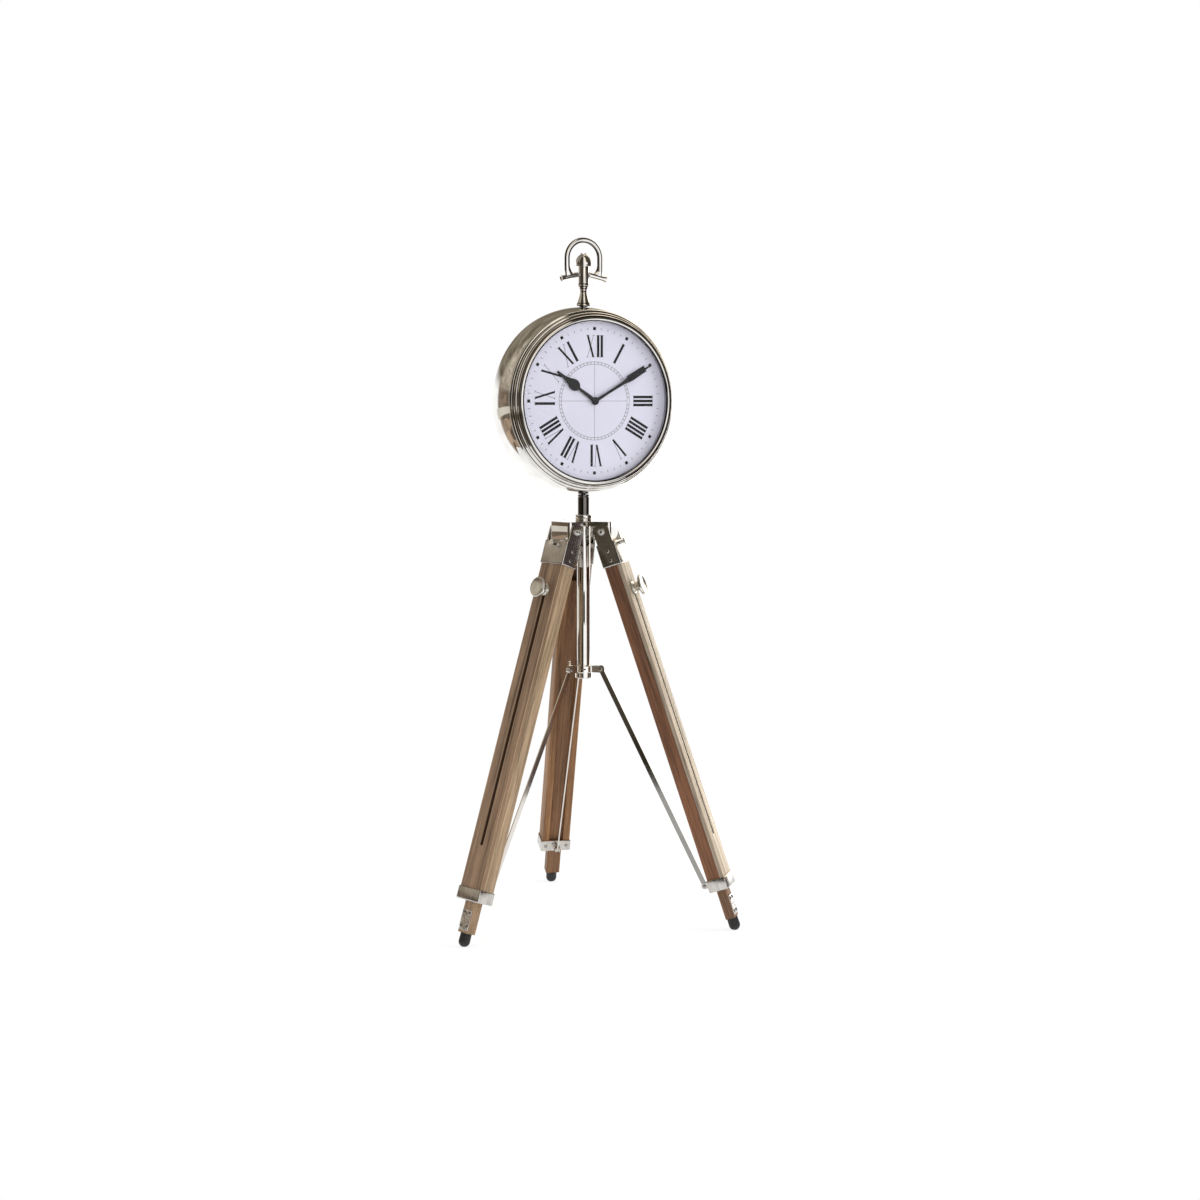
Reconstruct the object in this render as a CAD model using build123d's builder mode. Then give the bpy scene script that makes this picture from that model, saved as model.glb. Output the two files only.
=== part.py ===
"""Table clock on a folding wooden tripod.

A round nickel clock head stands on a stem in a pole. Three slotted wooden legs hinge on the pole's hub,
each with a sliding inner leg, and three flat stays tie them to a collar that slides on the pole.
Millimetres, +Z up, feet on Z = 0, dial facing -Y, origin under the middle of the three feet.
"""

from build123d import *
import os
from math import cos, hypot, pi, radians, sin

os.makedirs("parts", exist_ok=True)

# Clearances: sliding and turning pieces, pins in their bores, pieces that nest without moving
running_gap = 0.3
pin_gap = 0.08
seat_gap = 0.05
overrun = 5.0

# Stance of the tripod: how the three legs lie round the pole, in degrees, and how far they lean
tripod_turn = -12.4
leg_bearings = {"a": 210 + tripod_turn, "b": 90 + tripod_turn, "c": 330 + tripod_turn}
stay_screw_bearing = 150 + tripod_turn
leg_lean = 19.0

# Outer leg: two rails glued under a slotted plank
wood_width = 42.4
wood_depth = 24.6
wood_length = 511.0
plank_thickness = 5.4
channel_width = 21.8
seam_width = 0.5
seam_depth = 0.4
slot_tail = 78.0

# Sheet caps on the outer leg: ears at the top, a shoe with a stay lug at the bottom
sheet = 2.0
cap_reach = 17.0
cap_length = 34.0
ear_rise = 10.5
ear_width = 23.0
ear_corner = 9.0
shoe_length = 18.0
lug_offset = 24.0
lug_radius = 4.5

# Inner leg, its foot and its plate
slide_depth = 14.0
slide_overlap = 10.0
slide_drop = 44.0
tenon_radius = 5.0
tenon_length = 10.0
tip_radius = 8.0
tip_length = 19.0
tip_flat = 1.14
plate_length = 28.0
plate_width = 19.0
plate_thickness = 1.2
plate_rise = 4.0
plate_screw_along_share = 0.34
plate_screw_across_share = 0.28

# Clamp knob of the inner leg
knob_drop = 69.5
knob_radius = 14.5
knob_thickness = 4.6
knob_flare = 3.2
knob_dish = 1.6
knob_rim = 1.0
knob_neck_radius = 6.5
knob_neck_length = 7.2
knob_washer_radius = 9.0
knob_washer_thickness = 1.2
knob_shank_radius = 3.0
knob_grip = 9.0

# Thumb screw on the outer face of each cap
thumb_drop = 5.0
thumb_stem_radius = 2.7
thumb_stem_length = 7.0
thumb_head_radius = 4.4
thumb_head_thickness = 2.2
thumb_shank_radius = 1.6
thumb_shank_length = 9.0

# Small screws and rivets
screw_head_radius = 2.6
screw_head_height = 1.1
screw_shank_radius = 1.25
screw_length = 9.0
screw_slot = 0.7
rivet_radius = 1.5
rivet_head_radius = 2.5
rivet_head_height = 0.9

# Hub, its hinge bolts and the collar on top
hinge_radius = 33.0
hub_reach = 46.0
lug_inner = 20.0
lug_rise = 14.0
lug_sink = 12.0
hub_plate = 6.5
hub_corner = 5.0
hub_edge = 0.8
sleeve_radius = 3.0
bolt_radius = 1.95
bolt_grip = 12.0
bolt_head_radius = 3.9
bolt_head_height = 3.6
bolt_washer_radius = 5.2
bolt_washer_height = 0.9
socket_radius = 2.0
socket_depth = 2.0
collar_radius = 12.0
collar_height = 8.5

# Pole tube and the stem in it
tube_radius = 9.4
tube_tail = 14.0
stem_radius = 8.15
stem_sunk = 100.0
stem_exposed = 29.0
stem_cone = 6.0
stem_top_radius = 5.0
spigot_radius = 3.0
spigot_length = 8.0
nut_flats = 10.0
nut_height = 4.0
nut_lift = 0.9

# Collar that slides on the pole, with a fork for each stay and a wing screw
stay_collar_drop = 198.0
stay_collar_radius = 14.0
stay_collar_height = 9.3
boss_radius = 12.0
boss_height = 8.3
fork_radius = 26.0
fork_gap = 3.0
cheek = 2.0
wing_start = 20.0
wing_thickness = 3.0
wing_span = 20.0
wing_width = 9.0
wing_shank_radius = 2.0

# Stays
stay_width = 7.0
stay_thickness = 2.0
stay_eye_radius = 5.5
stay_play = 2.6

# Clock case, measured forwards from the pole's axis
case_radius = 131.5
case_depth = 53.0
case_lead = 0.5
case_wall = 1.6
drum_shares = ((-1.0, 0.924), (-0.93, 0.973), (-0.70, 0.994), (-0.23, 1.0), (1.0, 0.958))
back_rim = 21.5
neck_step = 13.5
neck_length = 7.5
ledge_width = 12.0

# Dial, spacer ring and glass stacked on the ledge of the neck
glass_inset = 6.0
lip_width = 1.5
dial_thickness = 1.0
ring_height = 4.7
glass_thickness = 1.6

# Bezel: three beads step down from the glass to the drum
bezel_step = 4.9
bezel_depth = 17.5
bead_shares = (
    ((0.0, 0.0), (0.20, 0.03), (0.30, 0.20)),
    ((0.36, 0.25), (0.56, 0.28), (0.64, 0.44)),
    ((0.68, 0.47), (0.90, 0.52), (1.0, 0.68)),
    ((1.0, 0.68), (0.985, 0.88), (0.90, 0.98)),
)

# Back cover
cover_inset = 12.5
cover_thickness = 1.6
cover_opening = 48.0
cover_bead = 2.0
cover_screws = 6
cover_screw_inset = 4.0

# Movement and battery
movement_width = 56.0
movement_height = 56.0
movement_depth = 16.0
movement_corner = 3.0
bush_radius = 4.0
bush_bore = 2.7
bush_length = 2.6
arbor_bore_depth = 7.0
dial_nut_flats = 9.4
dial_nut_height = 1.4
battery_radius = 7.15
battery_length = 49.5
battery_drop = 17.0
battery_nub_radius = 2.7
battery_nub = 1.0
bay_gap = 0.3
set_knob_rise = 10.0
set_knob_radius = 6.0
set_knob_height = 3.2
set_shaft_radius = 1.5
set_shaft_length = 5.0

# Hands, pointing to ten past ten
hour_angle = 305.0
minute_angle = 60.0
hand_thickness = 0.6
hour_clearance = 39.9
hour_width = 15.6
hour_shares = ((0.0, 0.13), (0.43, 0.14), (0.57, 0.50), (0.72, 0.24), (0.82, 0.13), (0.93, 0.15), (1.0, 0.03))
minute_clearance = 9.7
minute_width = 9.0
minute_shares = ((0.0, 0.20), (0.50, 0.24), (0.64, 0.50), (0.84, 0.40), (0.90, 0.16), (1.0, 0.05))
hand_boss_radius = 5.5
blade_root = 5.0
hour_lift = 1.8
minute_lift = 2.9
hour_pipe_radius = 2.6
minute_arbor_radius = 1.65
hand_cap_radius = 2.8
hand_cap_height = 0.8
arbor_sink = 5.0

# Crown post and cap
post_bead_radius = 6.0
post_bead_height = 1.2
flange_radius = 10.0
flange_height = 2.2
neck_waist_radius = 4.4
neck_waist_rise = 23.0
shaft_radius = 7.4
shaft_start = 30.5
shaft_end = 56.3
cap_skirt_radius = 11.25
cap_height = 19.0
cap_lip = 2.0
cap_shares = ((0.0, 1.0), (0.42, 0.90), (0.86, 0.42))
cap_nub_radius = 2.2
cap_nub_height = 1.6
cap_pin_radius = 3.0
cap_pin_length = 8.0

# Bail: a bow on two drooping arms that swing on a pin through the post
bail_pivot_rise = 45.0
bail_pin_radius = 2.0
bail_pin_reach = 12.5
bail_width = 58.0
bail_height = 51.5
bail_bar = 6.4
bail_shoulder = 4.0
arm_length = 26.5
arm_droop = 13.0
arm_root_radius = 3.7
arm_tip_radius = 4.8
arm_cup_radius = 3.3
arm_cup_depth = 2.0

# Radii round the dial and the back, worked inwards from the case
neck_radius = case_radius - neck_step
ledge_radius = neck_radius - ledge_width
glass_radius = neck_radius - glass_inset
opening_radius = glass_radius - lip_width
bezel_radius = case_radius - bezel_step
back_opening = case_radius - back_rim
cover_radius = case_radius - cover_inset
cover_screw_radius = cover_radius - cover_screw_inset
hour_length = opening_radius - hour_clearance
minute_length = opening_radius - minute_clearance

# Places along a leg, from the hinge down
wood_start = cap_reach + sheet
slot_travel = wood_length - knob_drop - slot_tail
wood_end = wood_start + wood_length
shoe_end = wood_end + sheet
shoe_start = shoe_end - shoe_length
knob_place = wood_start + knob_drop
slide_start = knob_place - slide_overlap
slide_end = shoe_end + slide_drop
tip_end = slide_end + tip_length
ball_place = tip_end - tip_radius
shoe_middle = (shoe_start + shoe_end) / 2

# Places across a leg, outwards from its middle
wood_face = wood_depth / 2
plank_back = wood_face - plank_thickness
slide_face = plank_back - running_gap
slide_middle = slide_face - slide_depth / 2
slide_width = channel_width - 2 * running_gap
cap_width = wood_width + 2 * (seat_gap + sheet)
cap_depth = wood_depth + 2 * (seat_gap + sheet)
ear_inside = cap_width / 2 - sheet
lug_width = 2 * (ear_inside - running_gap)
slot_width = 2 * (knob_shank_radius + pin_gap * 2)

# Heights, worked up from the floor
lean_sine = sin(radians(leg_lean))
lean_cosine = cos(radians(leg_lean))
hinge_height = ball_place * lean_cosine - slide_middle * lean_sine + tip_radius - tip_flat
hub_top = hinge_height + lug_rise
lug_bottom = hinge_height - lug_sink
collar_top = hub_top + collar_height
case_bottom = collar_top + stem_exposed
clock_height = case_bottom + case_radius
case_top = clock_height + case_radius
stay_collar_middle = hinge_height - stay_collar_drop
tube_length = lug_rise + stay_collar_drop + tube_tail
stay_collar_bottom = stay_collar_middle - stay_collar_height / 2
bail_pivot = case_top + bail_pivot_rise

# The origin lies under the middle of the feet, so the pole stands a little off it
foot_radius = hinge_radius + ball_place * lean_sine + slide_middle * lean_cosine
foot_x = {name: foot_radius * cos(radians(turn)) for name, turn in leg_bearings.items()}
foot_y = {name: foot_radius * sin(radians(turn)) for name, turn in leg_bearings.items()}
pole_x = -(max(foot_x.values()) + min(foot_x.values())) / 2
pole_y = -(max(foot_y.values()) + min(foot_y.values())) / 2

# Places forwards from the pole's axis, through the clock
case_back = case_lead - case_depth / 2
case_front = case_lead + case_depth / 2
neck_front = case_front + neck_length
dial_face = neck_front + dial_thickness
glass_back = dial_face + ring_height
glass_front = glass_back + glass_thickness
movement_back = neck_front - seat_gap - movement_depth

pole_axis = Axis((pole_x, pole_y, 0), (0, 0, 1))
upright = Plane(origin=(pole_x, pole_y, 0), x_dir=(1, 0, 0), z_dir=(0, -1, 0))
clock_middle = (pole_x, pole_y, clock_height)
clock_axis = Axis(clock_middle, (0, -1, 0))
clock_face = Plane(origin=clock_middle, x_dir=(1, 0, 0), z_dir=(0, -1, 0))
clock_section = Plane(origin=clock_middle, x_dir=(0, -1, 0), z_dir=(-1, 0, 0))


def radial_plane(turn):
    """A level plane on the pole's axis: x outwards along the bearing, z up."""
    return Plane(
        origin=(pole_x, pole_y, 0), x_dir=(cos(radians(turn)), sin(radians(turn)), 0), z_dir=(0, 0, 1)
    )


def radial_section(turn):
    """An upright plane through the pole's axis: x outwards along the bearing, y up."""
    outwards = Vector(cos(radians(turn)), sin(radians(turn)), 0)
    return Plane(origin=(pole_x, pole_y, 0), x_dir=outwards, z_dir=outwards.cross(Vector(0, 0, 1)))


def leg_frame(turn):
    """The hinge point of a leg and its directions down the leg, across it and out of its face."""
    outwards = Vector(cos(radians(turn)), sin(radians(turn)), 0)
    hinge = Vector(pole_x, pole_y, hinge_height) + outwards * hinge_radius
    down = outwards * lean_sine - Vector(0, 0, 1) * lean_cosine
    across = Vector(0, 0, 1).cross(outwards)
    return hinge, down, across, down.cross(across)


def leg_face(turn):
    """The leg's middle plane: x down the leg, y across it, z out of its face."""
    hinge, down, across, out = leg_frame(turn)
    return Plane(origin=hinge, x_dir=down, z_dir=out)


def leg_side(turn):
    """The plane that halves the leg lengthwise: x down the leg, y out of its face."""
    hinge, down, across, out = leg_frame(turn)
    return Plane(origin=hinge, x_dir=down, z_dir=across * -1)


def leg_section(turn):
    """The plane across the leg at its hinge: x across it, y out of its face, z down the leg."""
    hinge, down, across, out = leg_frame(turn)
    return Plane(origin=hinge, x_dir=across, z_dir=down)


def drum_points(half_depth, radius):
    """The drum's bulged outline from back to front, for its outer or its inner face."""
    return [(case_lead + half_depth * along, radius * out) for along, out in drum_shares]


def save(part, name):
    part.label = name
    export_step(part, f"parts/{name}.step")


# Case: a spun drum with a turned-in rim behind and a stepped neck in front
outer_drum = drum_points(case_depth / 2, case_radius)
inner_drum = drum_points(case_depth / 2 - case_wall, case_radius - case_wall)
with BuildPart() as case:
    with BuildSketch(clock_section):
        with BuildLine():
            Polyline((case_back + case_wall, back_opening), (case_back, back_opening), outer_drum[0])
            ThreePointArc(outer_drum[0], outer_drum[1], outer_drum[2])
            ThreePointArc(outer_drum[2], outer_drum[3], outer_drum[4])
            Polyline(
                outer_drum[4],
                (case_front, neck_radius),
                (neck_front, neck_radius),
                (neck_front, ledge_radius),
                (neck_front - case_wall, ledge_radius),
                (neck_front - case_wall, neck_radius - case_wall),
                (case_front - case_wall, neck_radius - case_wall),
                inner_drum[4],
            )
            ThreePointArc(inner_drum[4], inner_drum[3], inner_drum[2])
            ThreePointArc(inner_drum[2], inner_drum[1], inner_drum[0])
            Line(inner_drum[0], (case_back + case_wall, back_opening))
        make_face()
    revolve(axis=clock_axis)
    with BuildSketch(Plane((pole_x, pole_y, case_bottom - overrun))):
        Circle(spigot_radius + seat_gap)
    extrude(amount=2 * (case_radius + overrun), mode=Mode.SUBTRACT)
    with BuildSketch(clock_face.offset(case_back - overrun)):
        with PolarLocations(cover_screw_radius, cover_screws):
            Circle(screw_shank_radius + seat_gap)
    extrude(amount=case_wall + 2 * overrun, mode=Mode.SUBTRACT)
save(case.part, "case")

# Bezel: pushed over the neck, it holds glass, spacer ring and dial against the ledge
bezel_width = bezel_radius - opening_radius
beads = [
    [(case_front + bezel_depth * along, bezel_radius - bezel_width * inset) for along, inset in bead]
    for bead in bead_shares
]
with BuildPart() as bezel:
    with BuildSketch(clock_section):
        with BuildLine():
            for start, middle, end in beads:
                ThreePointArc(start, middle, end)
            Line(beads[0][2], beads[1][0])
            Line(beads[1][2], beads[2][0])
            Polyline(
                beads[3][2],
                (glass_front, opening_radius),
                (glass_front, glass_radius + seat_gap),
                (neck_front, glass_radius + seat_gap),
                (neck_front, neck_radius + seat_gap),
                (case_front, neck_radius + seat_gap),
                beads[0][0],
            )
        make_face()
    revolve(axis=clock_axis)
save(bezel.part, "bezel")

# Glass: a flat pane behind the bezel's lip
with BuildPart() as glass:
    with BuildSketch(clock_face.offset(glass_back)):
        Circle(glass_radius)
    extrude(amount=glass_thickness)
save(glass.part, "glass")

# Spacer ring: keeps the glass off the hands
with BuildPart() as dial_ring:
    with BuildSketch(clock_face.offset(dial_face)):
        Circle(glass_radius)
        Circle(opening_radius, mode=Mode.SUBTRACT)
    extrude(amount=ring_height)
save(dial_ring.part, "dial_ring")

# Dial: a printed plate with a hole for the movement's bush
with BuildPart() as dial:
    with BuildSketch(clock_face.offset(neck_front)):
        Circle(glass_radius)
        Circle(bush_radius + seat_gap, mode=Mode.SUBTRACT)
    extrude(amount=dial_thickness)
save(dial.part, "dial")

# Movement: a moulded housing with a threaded bush in front and a battery bay behind
with BuildPart() as movement:
    with BuildSketch(clock_face.offset(movement_back)):
        RectangleRounded(movement_width, movement_height, movement_corner)
    extrude(amount=movement_depth)
    with BuildSketch(clock_face.offset(movement_back + movement_depth)):
        Circle(bush_radius)
    extrude(amount=bush_length)
    with BuildSketch(clock_face.offset(movement_back + movement_depth - arbor_bore_depth)):
        Circle(bush_bore)
    extrude(amount=arbor_bore_depth + bush_length, mode=Mode.SUBTRACT)
    with BuildSketch(clock_face.offset(movement_back - overrun)):
        with Locations((0, set_knob_rise)):
            Circle(set_shaft_radius + pin_gap)
    extrude(amount=set_shaft_length + overrun, mode=Mode.SUBTRACT)
    with BuildSketch(clock_face.offset(movement_back - overrun)):
        with Locations((0, -battery_drop)):
            Rectangle(battery_length + 2 * bay_gap, 2 * (battery_radius + bay_gap))
    extrude(amount=overrun + 2 * battery_radius, mode=Mode.SUBTRACT)
save(movement.part, "movement")

# Battery: one cell lying in the bay
with BuildPart() as battery:
    battery_end = Plane(
        origin=(
            pole_x - battery_length / 2,
            pole_y - movement_back - battery_radius,
            clock_height - battery_drop,
        ),
        z_dir=(1, 0, 0),
    )
    with BuildSketch(battery_end):
        Circle(battery_radius)
    extrude(amount=battery_length - battery_nub)
    with BuildSketch(battery_end.offset(battery_length - battery_nub)):
        Circle(battery_nub_radius)
    extrude(amount=battery_nub)
save(battery.part, "battery")

# Dial nut: clamps the dial to the movement
with BuildPart() as dial_nut:
    with BuildSketch(clock_face.offset(dial_face)):
        RegularPolygon(dial_nut_flats / 2, 6, major_radius=False)
        Circle(bush_radius + seat_gap, mode=Mode.SUBTRACT)
    extrude(amount=dial_nut_height)
save(dial_nut.part, "dial_nut")

# Setting knob on the back of the movement
with BuildPart() as set_knob:
    with BuildSketch(clock_face.offset(movement_back - running_gap - set_knob_height)):
        with Locations((0, set_knob_rise)):
            Circle(set_knob_radius)
    extrude(amount=set_knob_height)
    with BuildSketch(clock_face.offset(movement_back - running_gap)):
        with Locations((0, set_knob_rise)):
            Circle(set_shaft_radius)
    extrude(amount=set_shaft_length)
save(set_knob.part, "set_knob")


def hand_plane(angle, lift):
    """The back face of a hand: x along it, clockwise from the top of the dial."""
    return Plane(
        origin=(pole_x, pole_y - dial_face - lift, clock_height),
        x_dir=(sin(radians(angle)), 0, cos(radians(angle))),
        z_dir=(0, -1, 0),
    )


def hand_outline(shares, length, width):
    """Both edges of a hand's blade, from its root in the boss to the tip and back."""
    edge = [(blade_root, shares[0][1] * width)]
    edge += [(along * length, out * width) for along, out in shares[1:]]
    return edge + [(along, -out) for along, out in reversed(edge)]


# Hour hand: a slim arm with a pear-shaped bulb, pressed on the pipe that turns in the bush
with BuildPart() as hour_hand:
    hour_plane = hand_plane(hour_angle, hour_lift)
    hour_edge = hand_outline(hour_shares, hour_length, hour_width)
    half = len(hour_shares)
    with BuildSketch(hour_plane):
        with BuildLine():
            for side in (0, 1):
                points = hour_edge[:half] if side == 0 else hour_edge[half:][::-1]
                Line(points[0], points[1])
                Spline(points[1], points[2], points[3], points[4])
                Polyline(points[4], points[5], points[6])
            Line(hour_edge[half - 1], hour_edge[half])
            Line(hour_edge[0], hour_edge[-1])
        make_face()
        Circle(hand_boss_radius)
        Circle(minute_arbor_radius + pin_gap, mode=Mode.SUBTRACT)
    extrude(amount=hand_thickness)
    with BuildSketch(hour_plane):
        Circle(hour_pipe_radius)
        Circle(minute_arbor_radius + pin_gap, mode=Mode.SUBTRACT)
    extrude(amount=-(hour_lift + dial_thickness))
save(hour_hand.part, "hour_hand")

# Minute hand: a long leaf with its cap, pressed on the arbor that turns in the hour pipe
with BuildPart() as minute_hand:
    minute_plane = hand_plane(minute_angle, minute_lift)
    with BuildSketch(minute_plane):
        with BuildLine():
            Polyline(*hand_outline(minute_shares, minute_length, minute_width), close=True)
        make_face()
        Circle(hand_boss_radius)
    extrude(amount=hand_thickness)
    with BuildSketch(minute_plane.offset(hand_thickness)):
        Circle(hand_cap_radius)
    extrude(amount=hand_cap_height)
    with BuildSketch(minute_plane):
        Circle(minute_arbor_radius)
    extrude(amount=-(minute_lift + dial_thickness + arbor_sink))
save(minute_hand.part, "minute_hand")

# Back cover: a disc with a rolled opening that gives a hand room to reach the movement
with BuildPart() as back_cover:
    with BuildSketch(clock_face.offset(case_back - cover_thickness)):
        Circle(cover_radius)
        Circle(cover_opening, mode=Mode.SUBTRACT)
        with PolarLocations(cover_screw_radius, cover_screws):
            Circle(screw_shank_radius + seat_gap, mode=Mode.SUBTRACT)
    extrude(amount=cover_thickness)
    with BuildSketch(clock_section):
        with Locations((case_back - cover_thickness, cover_opening + cover_bead)):
            Circle(cover_bead)
            Rectangle(2 * cover_bead, 2 * cover_bead, align=(Align.MIN, Align.CENTER), mode=Mode.SUBTRACT)
    revolve(axis=clock_axis)
save(back_cover.part, "back_cover")

with BuildPart() as back_screws:
    with BuildSketch(clock_face.offset(case_back - cover_thickness)):
        with PolarLocations(cover_screw_radius, cover_screws):
            Circle(screw_head_radius)
    extrude(amount=-screw_head_height)
    with BuildSketch(clock_face.offset(case_back - cover_thickness)):
        with PolarLocations(cover_screw_radius, cover_screws):
            Circle(screw_shank_radius)
    extrude(amount=cover_thickness + 2 * case_wall)
    with BuildSketch(clock_face.offset(case_back - cover_thickness - screw_head_height)):
        with PolarLocations(cover_screw_radius, cover_screws):
            Rectangle(2 * screw_head_radius, screw_slot)
    extrude(amount=screw_head_height / 2, mode=Mode.SUBTRACT)
save(back_screws.part, "back_screws")

# Stem: turns in the pole and screws into the case through its conical top
with BuildPart() as stem:
    stem_bottom = hub_top - stem_sunk
    stem_shoulder = case_bottom - seat_gap
    with BuildSketch(upright):
        with BuildLine():
            Polyline(
                (0, stem_bottom),
                (stem_radius, stem_bottom),
                (stem_radius, stem_shoulder - stem_cone),
                (stem_top_radius, stem_shoulder),
                (spigot_radius, stem_shoulder),
                (spigot_radius, stem_shoulder + spigot_length),
                (0, stem_shoulder + spigot_length),
                close=True,
            )
        make_face()
    revolve(axis=pole_axis)
save(stem.part, "stem")

# Case nuts: they hold the stem and the crown post from inside
with BuildPart() as case_nuts:
    nut_floor = case_bottom + case_wall + nut_lift
    for height in (nut_floor, case_top - case_wall - nut_lift - nut_height):
        with BuildSketch(Plane((pole_x, pole_y, height))):
            RegularPolygon(nut_flats / 2, 6, major_radius=False)
            Circle(spigot_radius + seat_gap, mode=Mode.SUBTRACT)
        extrude(amount=nut_height)
save(case_nuts.part, "case_nuts")

# Crown post: a turned neck and shaft on a flange, screwed through the top of the case
with BuildPart() as crown_post:
    post_bottom = case_top + seat_gap
    flange_bottom = post_bottom + post_bead_height
    flange_top = flange_bottom + flange_height
    waist = case_top + neck_waist_rise
    shaft_bottom = case_top + shaft_start
    shaft_top = case_top + shaft_end
    with BuildSketch(upright):
        with BuildLine():
            Polyline(
                (0, shaft_top + cap_pin_length),
                (0, post_bottom - spigot_length),
                (spigot_radius, post_bottom - spigot_length),
                (spigot_radius, post_bottom),
                (post_bead_radius - post_bead_height / 2, post_bottom),
            )
            ThreePointArc(
                (post_bead_radius - post_bead_height / 2, post_bottom),
                (post_bead_radius, post_bottom + post_bead_height / 2),
                (post_bead_radius - post_bead_height / 2, flange_bottom),
            )
            Polyline(
                (post_bead_radius - post_bead_height / 2, flange_bottom),
                (flange_radius, flange_bottom),
                (flange_radius, flange_top),
            )
            ThreePointArc(
                (flange_radius, flange_top),
                ((flange_radius + 2 * neck_waist_radius) / 3, (flange_top + waist) / 2),
                (neck_waist_radius, waist),
            )
            Polyline(
                (neck_waist_radius, waist),
                (shaft_radius, shaft_bottom),
                (shaft_radius, shaft_top),
                (cap_pin_radius, shaft_top),
                (cap_pin_radius, shaft_top + cap_pin_length),
                (0, shaft_top + cap_pin_length),
            )
        make_face()
    revolve(axis=pole_axis)
    with BuildSketch(Plane(origin=(pole_x, pole_y, bail_pivot), z_dir=(1, 0, 0))):
        Circle(bail_pin_radius + seat_gap)
    extrude(amount=flange_radius, both=True, mode=Mode.SUBTRACT)
save(crown_post.part, "crown_post")

# Crown cap: a dome with a flared skirt and a small nub, pressed on the post
with BuildPart() as crown_cap:
    dome = [
        (cap_skirt_radius * out, shaft_top + cap_lip + (cap_height - cap_lip - cap_nub_height) * along)
        for along, out in cap_shares
    ]
    nub_base = shaft_top + cap_height - cap_nub_height
    with BuildSketch(upright):
        with BuildLine():
            Polyline((0, shaft_top + cap_height), (0, shaft_top), (cap_skirt_radius, shaft_top), dome[0])
            ThreePointArc(*dome)
            Polyline(dome[2], (cap_nub_radius, nub_base), (cap_nub_radius, nub_base + cap_nub_height / 2))
            Line((cap_nub_radius, nub_base + cap_nub_height / 2), (0, shaft_top + cap_height))
        make_face()
    revolve(axis=pole_axis)
    with BuildSketch(Plane((pole_x, pole_y, shaft_top - overrun))):
        Circle(cap_pin_radius + seat_gap)
    extrude(amount=overrun + cap_pin_length + seat_gap, mode=Mode.SUBTRACT)
save(crown_cap.part, "crown_cap")

# Bail pin: runs through the shaft and carries the bail's arms
with BuildPart() as bail_pin:
    with BuildSketch(Plane(origin=(pole_x, pole_y, bail_pivot), z_dir=(1, 0, 0))):
        Circle(bail_pin_radius)
    extrude(amount=bail_pin_reach, both=True)
save(bail_pin.part, "bail_pin")

# Bail: the bow rises from two drooping arms with cupped tips
with BuildPart() as bail:
    arm_start = shaft_radius + running_gap + arm_root_radius * sin(radians(arm_droop))
    for side in (-1, 1):
        arm_line = Vector(side * cos(radians(arm_droop)), 0, -sin(radians(arm_droop)))
        arm_root = Vector(pole_x + side * arm_start, pole_y, bail_pivot)
        with BuildSketch(Plane(origin=arm_root, x_dir=arm_line, z_dir=(0, -1, 0))):
            with BuildLine():
                Polyline(
                    (0, 0),
                    (0, arm_root_radius),
                    (arm_length - arm_tip_radius, (arm_root_radius + arm_cup_radius) / 2 + seat_gap),
                    (arm_length, arm_tip_radius),
                    (arm_length, arm_cup_radius),
                    (arm_length - arm_cup_depth, 0),
                    close=True,
                )
            make_face()
        revolve(axis=Axis(arm_root, arm_line))
    bow_reach = (bail_width - bail_bar) / 2
    bow_spring = bail_pivot + bail_height - bail_bar / 2 - bow_reach
    with BuildLine(upright) as bow_line:
        Line((-bow_reach, bail_pivot - bail_shoulder), (-bow_reach, bow_spring))
        ThreePointArc((-bow_reach, bow_spring), (0, bow_spring + bow_reach), (bow_reach, bow_spring))
        Line((bow_reach, bow_spring), (bow_reach, bail_pivot - bail_shoulder))
    with BuildSketch(Plane(origin=(pole_x - bow_reach, pole_y, bail_pivot - bail_shoulder))):
        Circle(bail_bar / 2)
    sweep(path=bow_line.wires()[0])
    with BuildSketch(Plane(origin=(pole_x, pole_y, bail_pivot), z_dir=(1, 0, 0))):
        Circle(bail_pin_radius + pin_gap)
    extrude(amount=bail_pin_reach + seat_gap, both=True, mode=Mode.SUBTRACT)
save(bail.part, "bail")

# Hub: a three-armed plate with a box lug under the end of each arm
hub_plate_bottom = hub_top - hub_plate
with BuildPart() as hub:
    for turn in leg_bearings.values():
        arm = radial_plane(turn)
        with BuildSketch(arm.offset(hub_plate_bottom)):
            with Locations((hub_reach / 2 - hub_corner, 0)):
                RectangleRounded(hub_reach + 2 * hub_corner, lug_width, hub_corner)
        extrude(amount=hub_plate)
        with BuildSketch(arm.offset(lug_bottom)):
            with Locations(((hub_reach + lug_inner) / 2, 0)):
                RectangleRounded(hub_reach - lug_inner, lug_width, hub_corner)
        extrude(amount=hub_top - lug_bottom)
    fillet(hub.faces().sort_by(Axis.Z)[-1].edges(), hub_edge)
    with BuildSketch(radial_plane(0).offset(hub_plate_bottom - overrun)):
        Circle(tube_radius + seat_gap)
    extrude(amount=hub_plate + 2 * overrun, mode=Mode.SUBTRACT)
    for turn in leg_bearings.values():
        with BuildSketch(leg_side(turn)):
            Circle(sleeve_radius + seat_gap)
        extrude(amount=lug_width, both=True, mode=Mode.SUBTRACT)
save(hub.part, "hub")

# Hub collar: a ring on top of the hub that guides the stem
with BuildPart() as hub_collar:
    with BuildSketch(radial_plane(0).offset(hub_top)):
        Circle(collar_radius)
        Circle(stem_radius + pin_gap, mode=Mode.SUBTRACT)
    extrude(amount=collar_height)
    chamfer(hub_collar.edges().filter_by(GeomType.CIRCLE).sort_by(Axis.Z)[-1], hub_edge)
save(hub_collar.part, "hub_collar")

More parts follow.
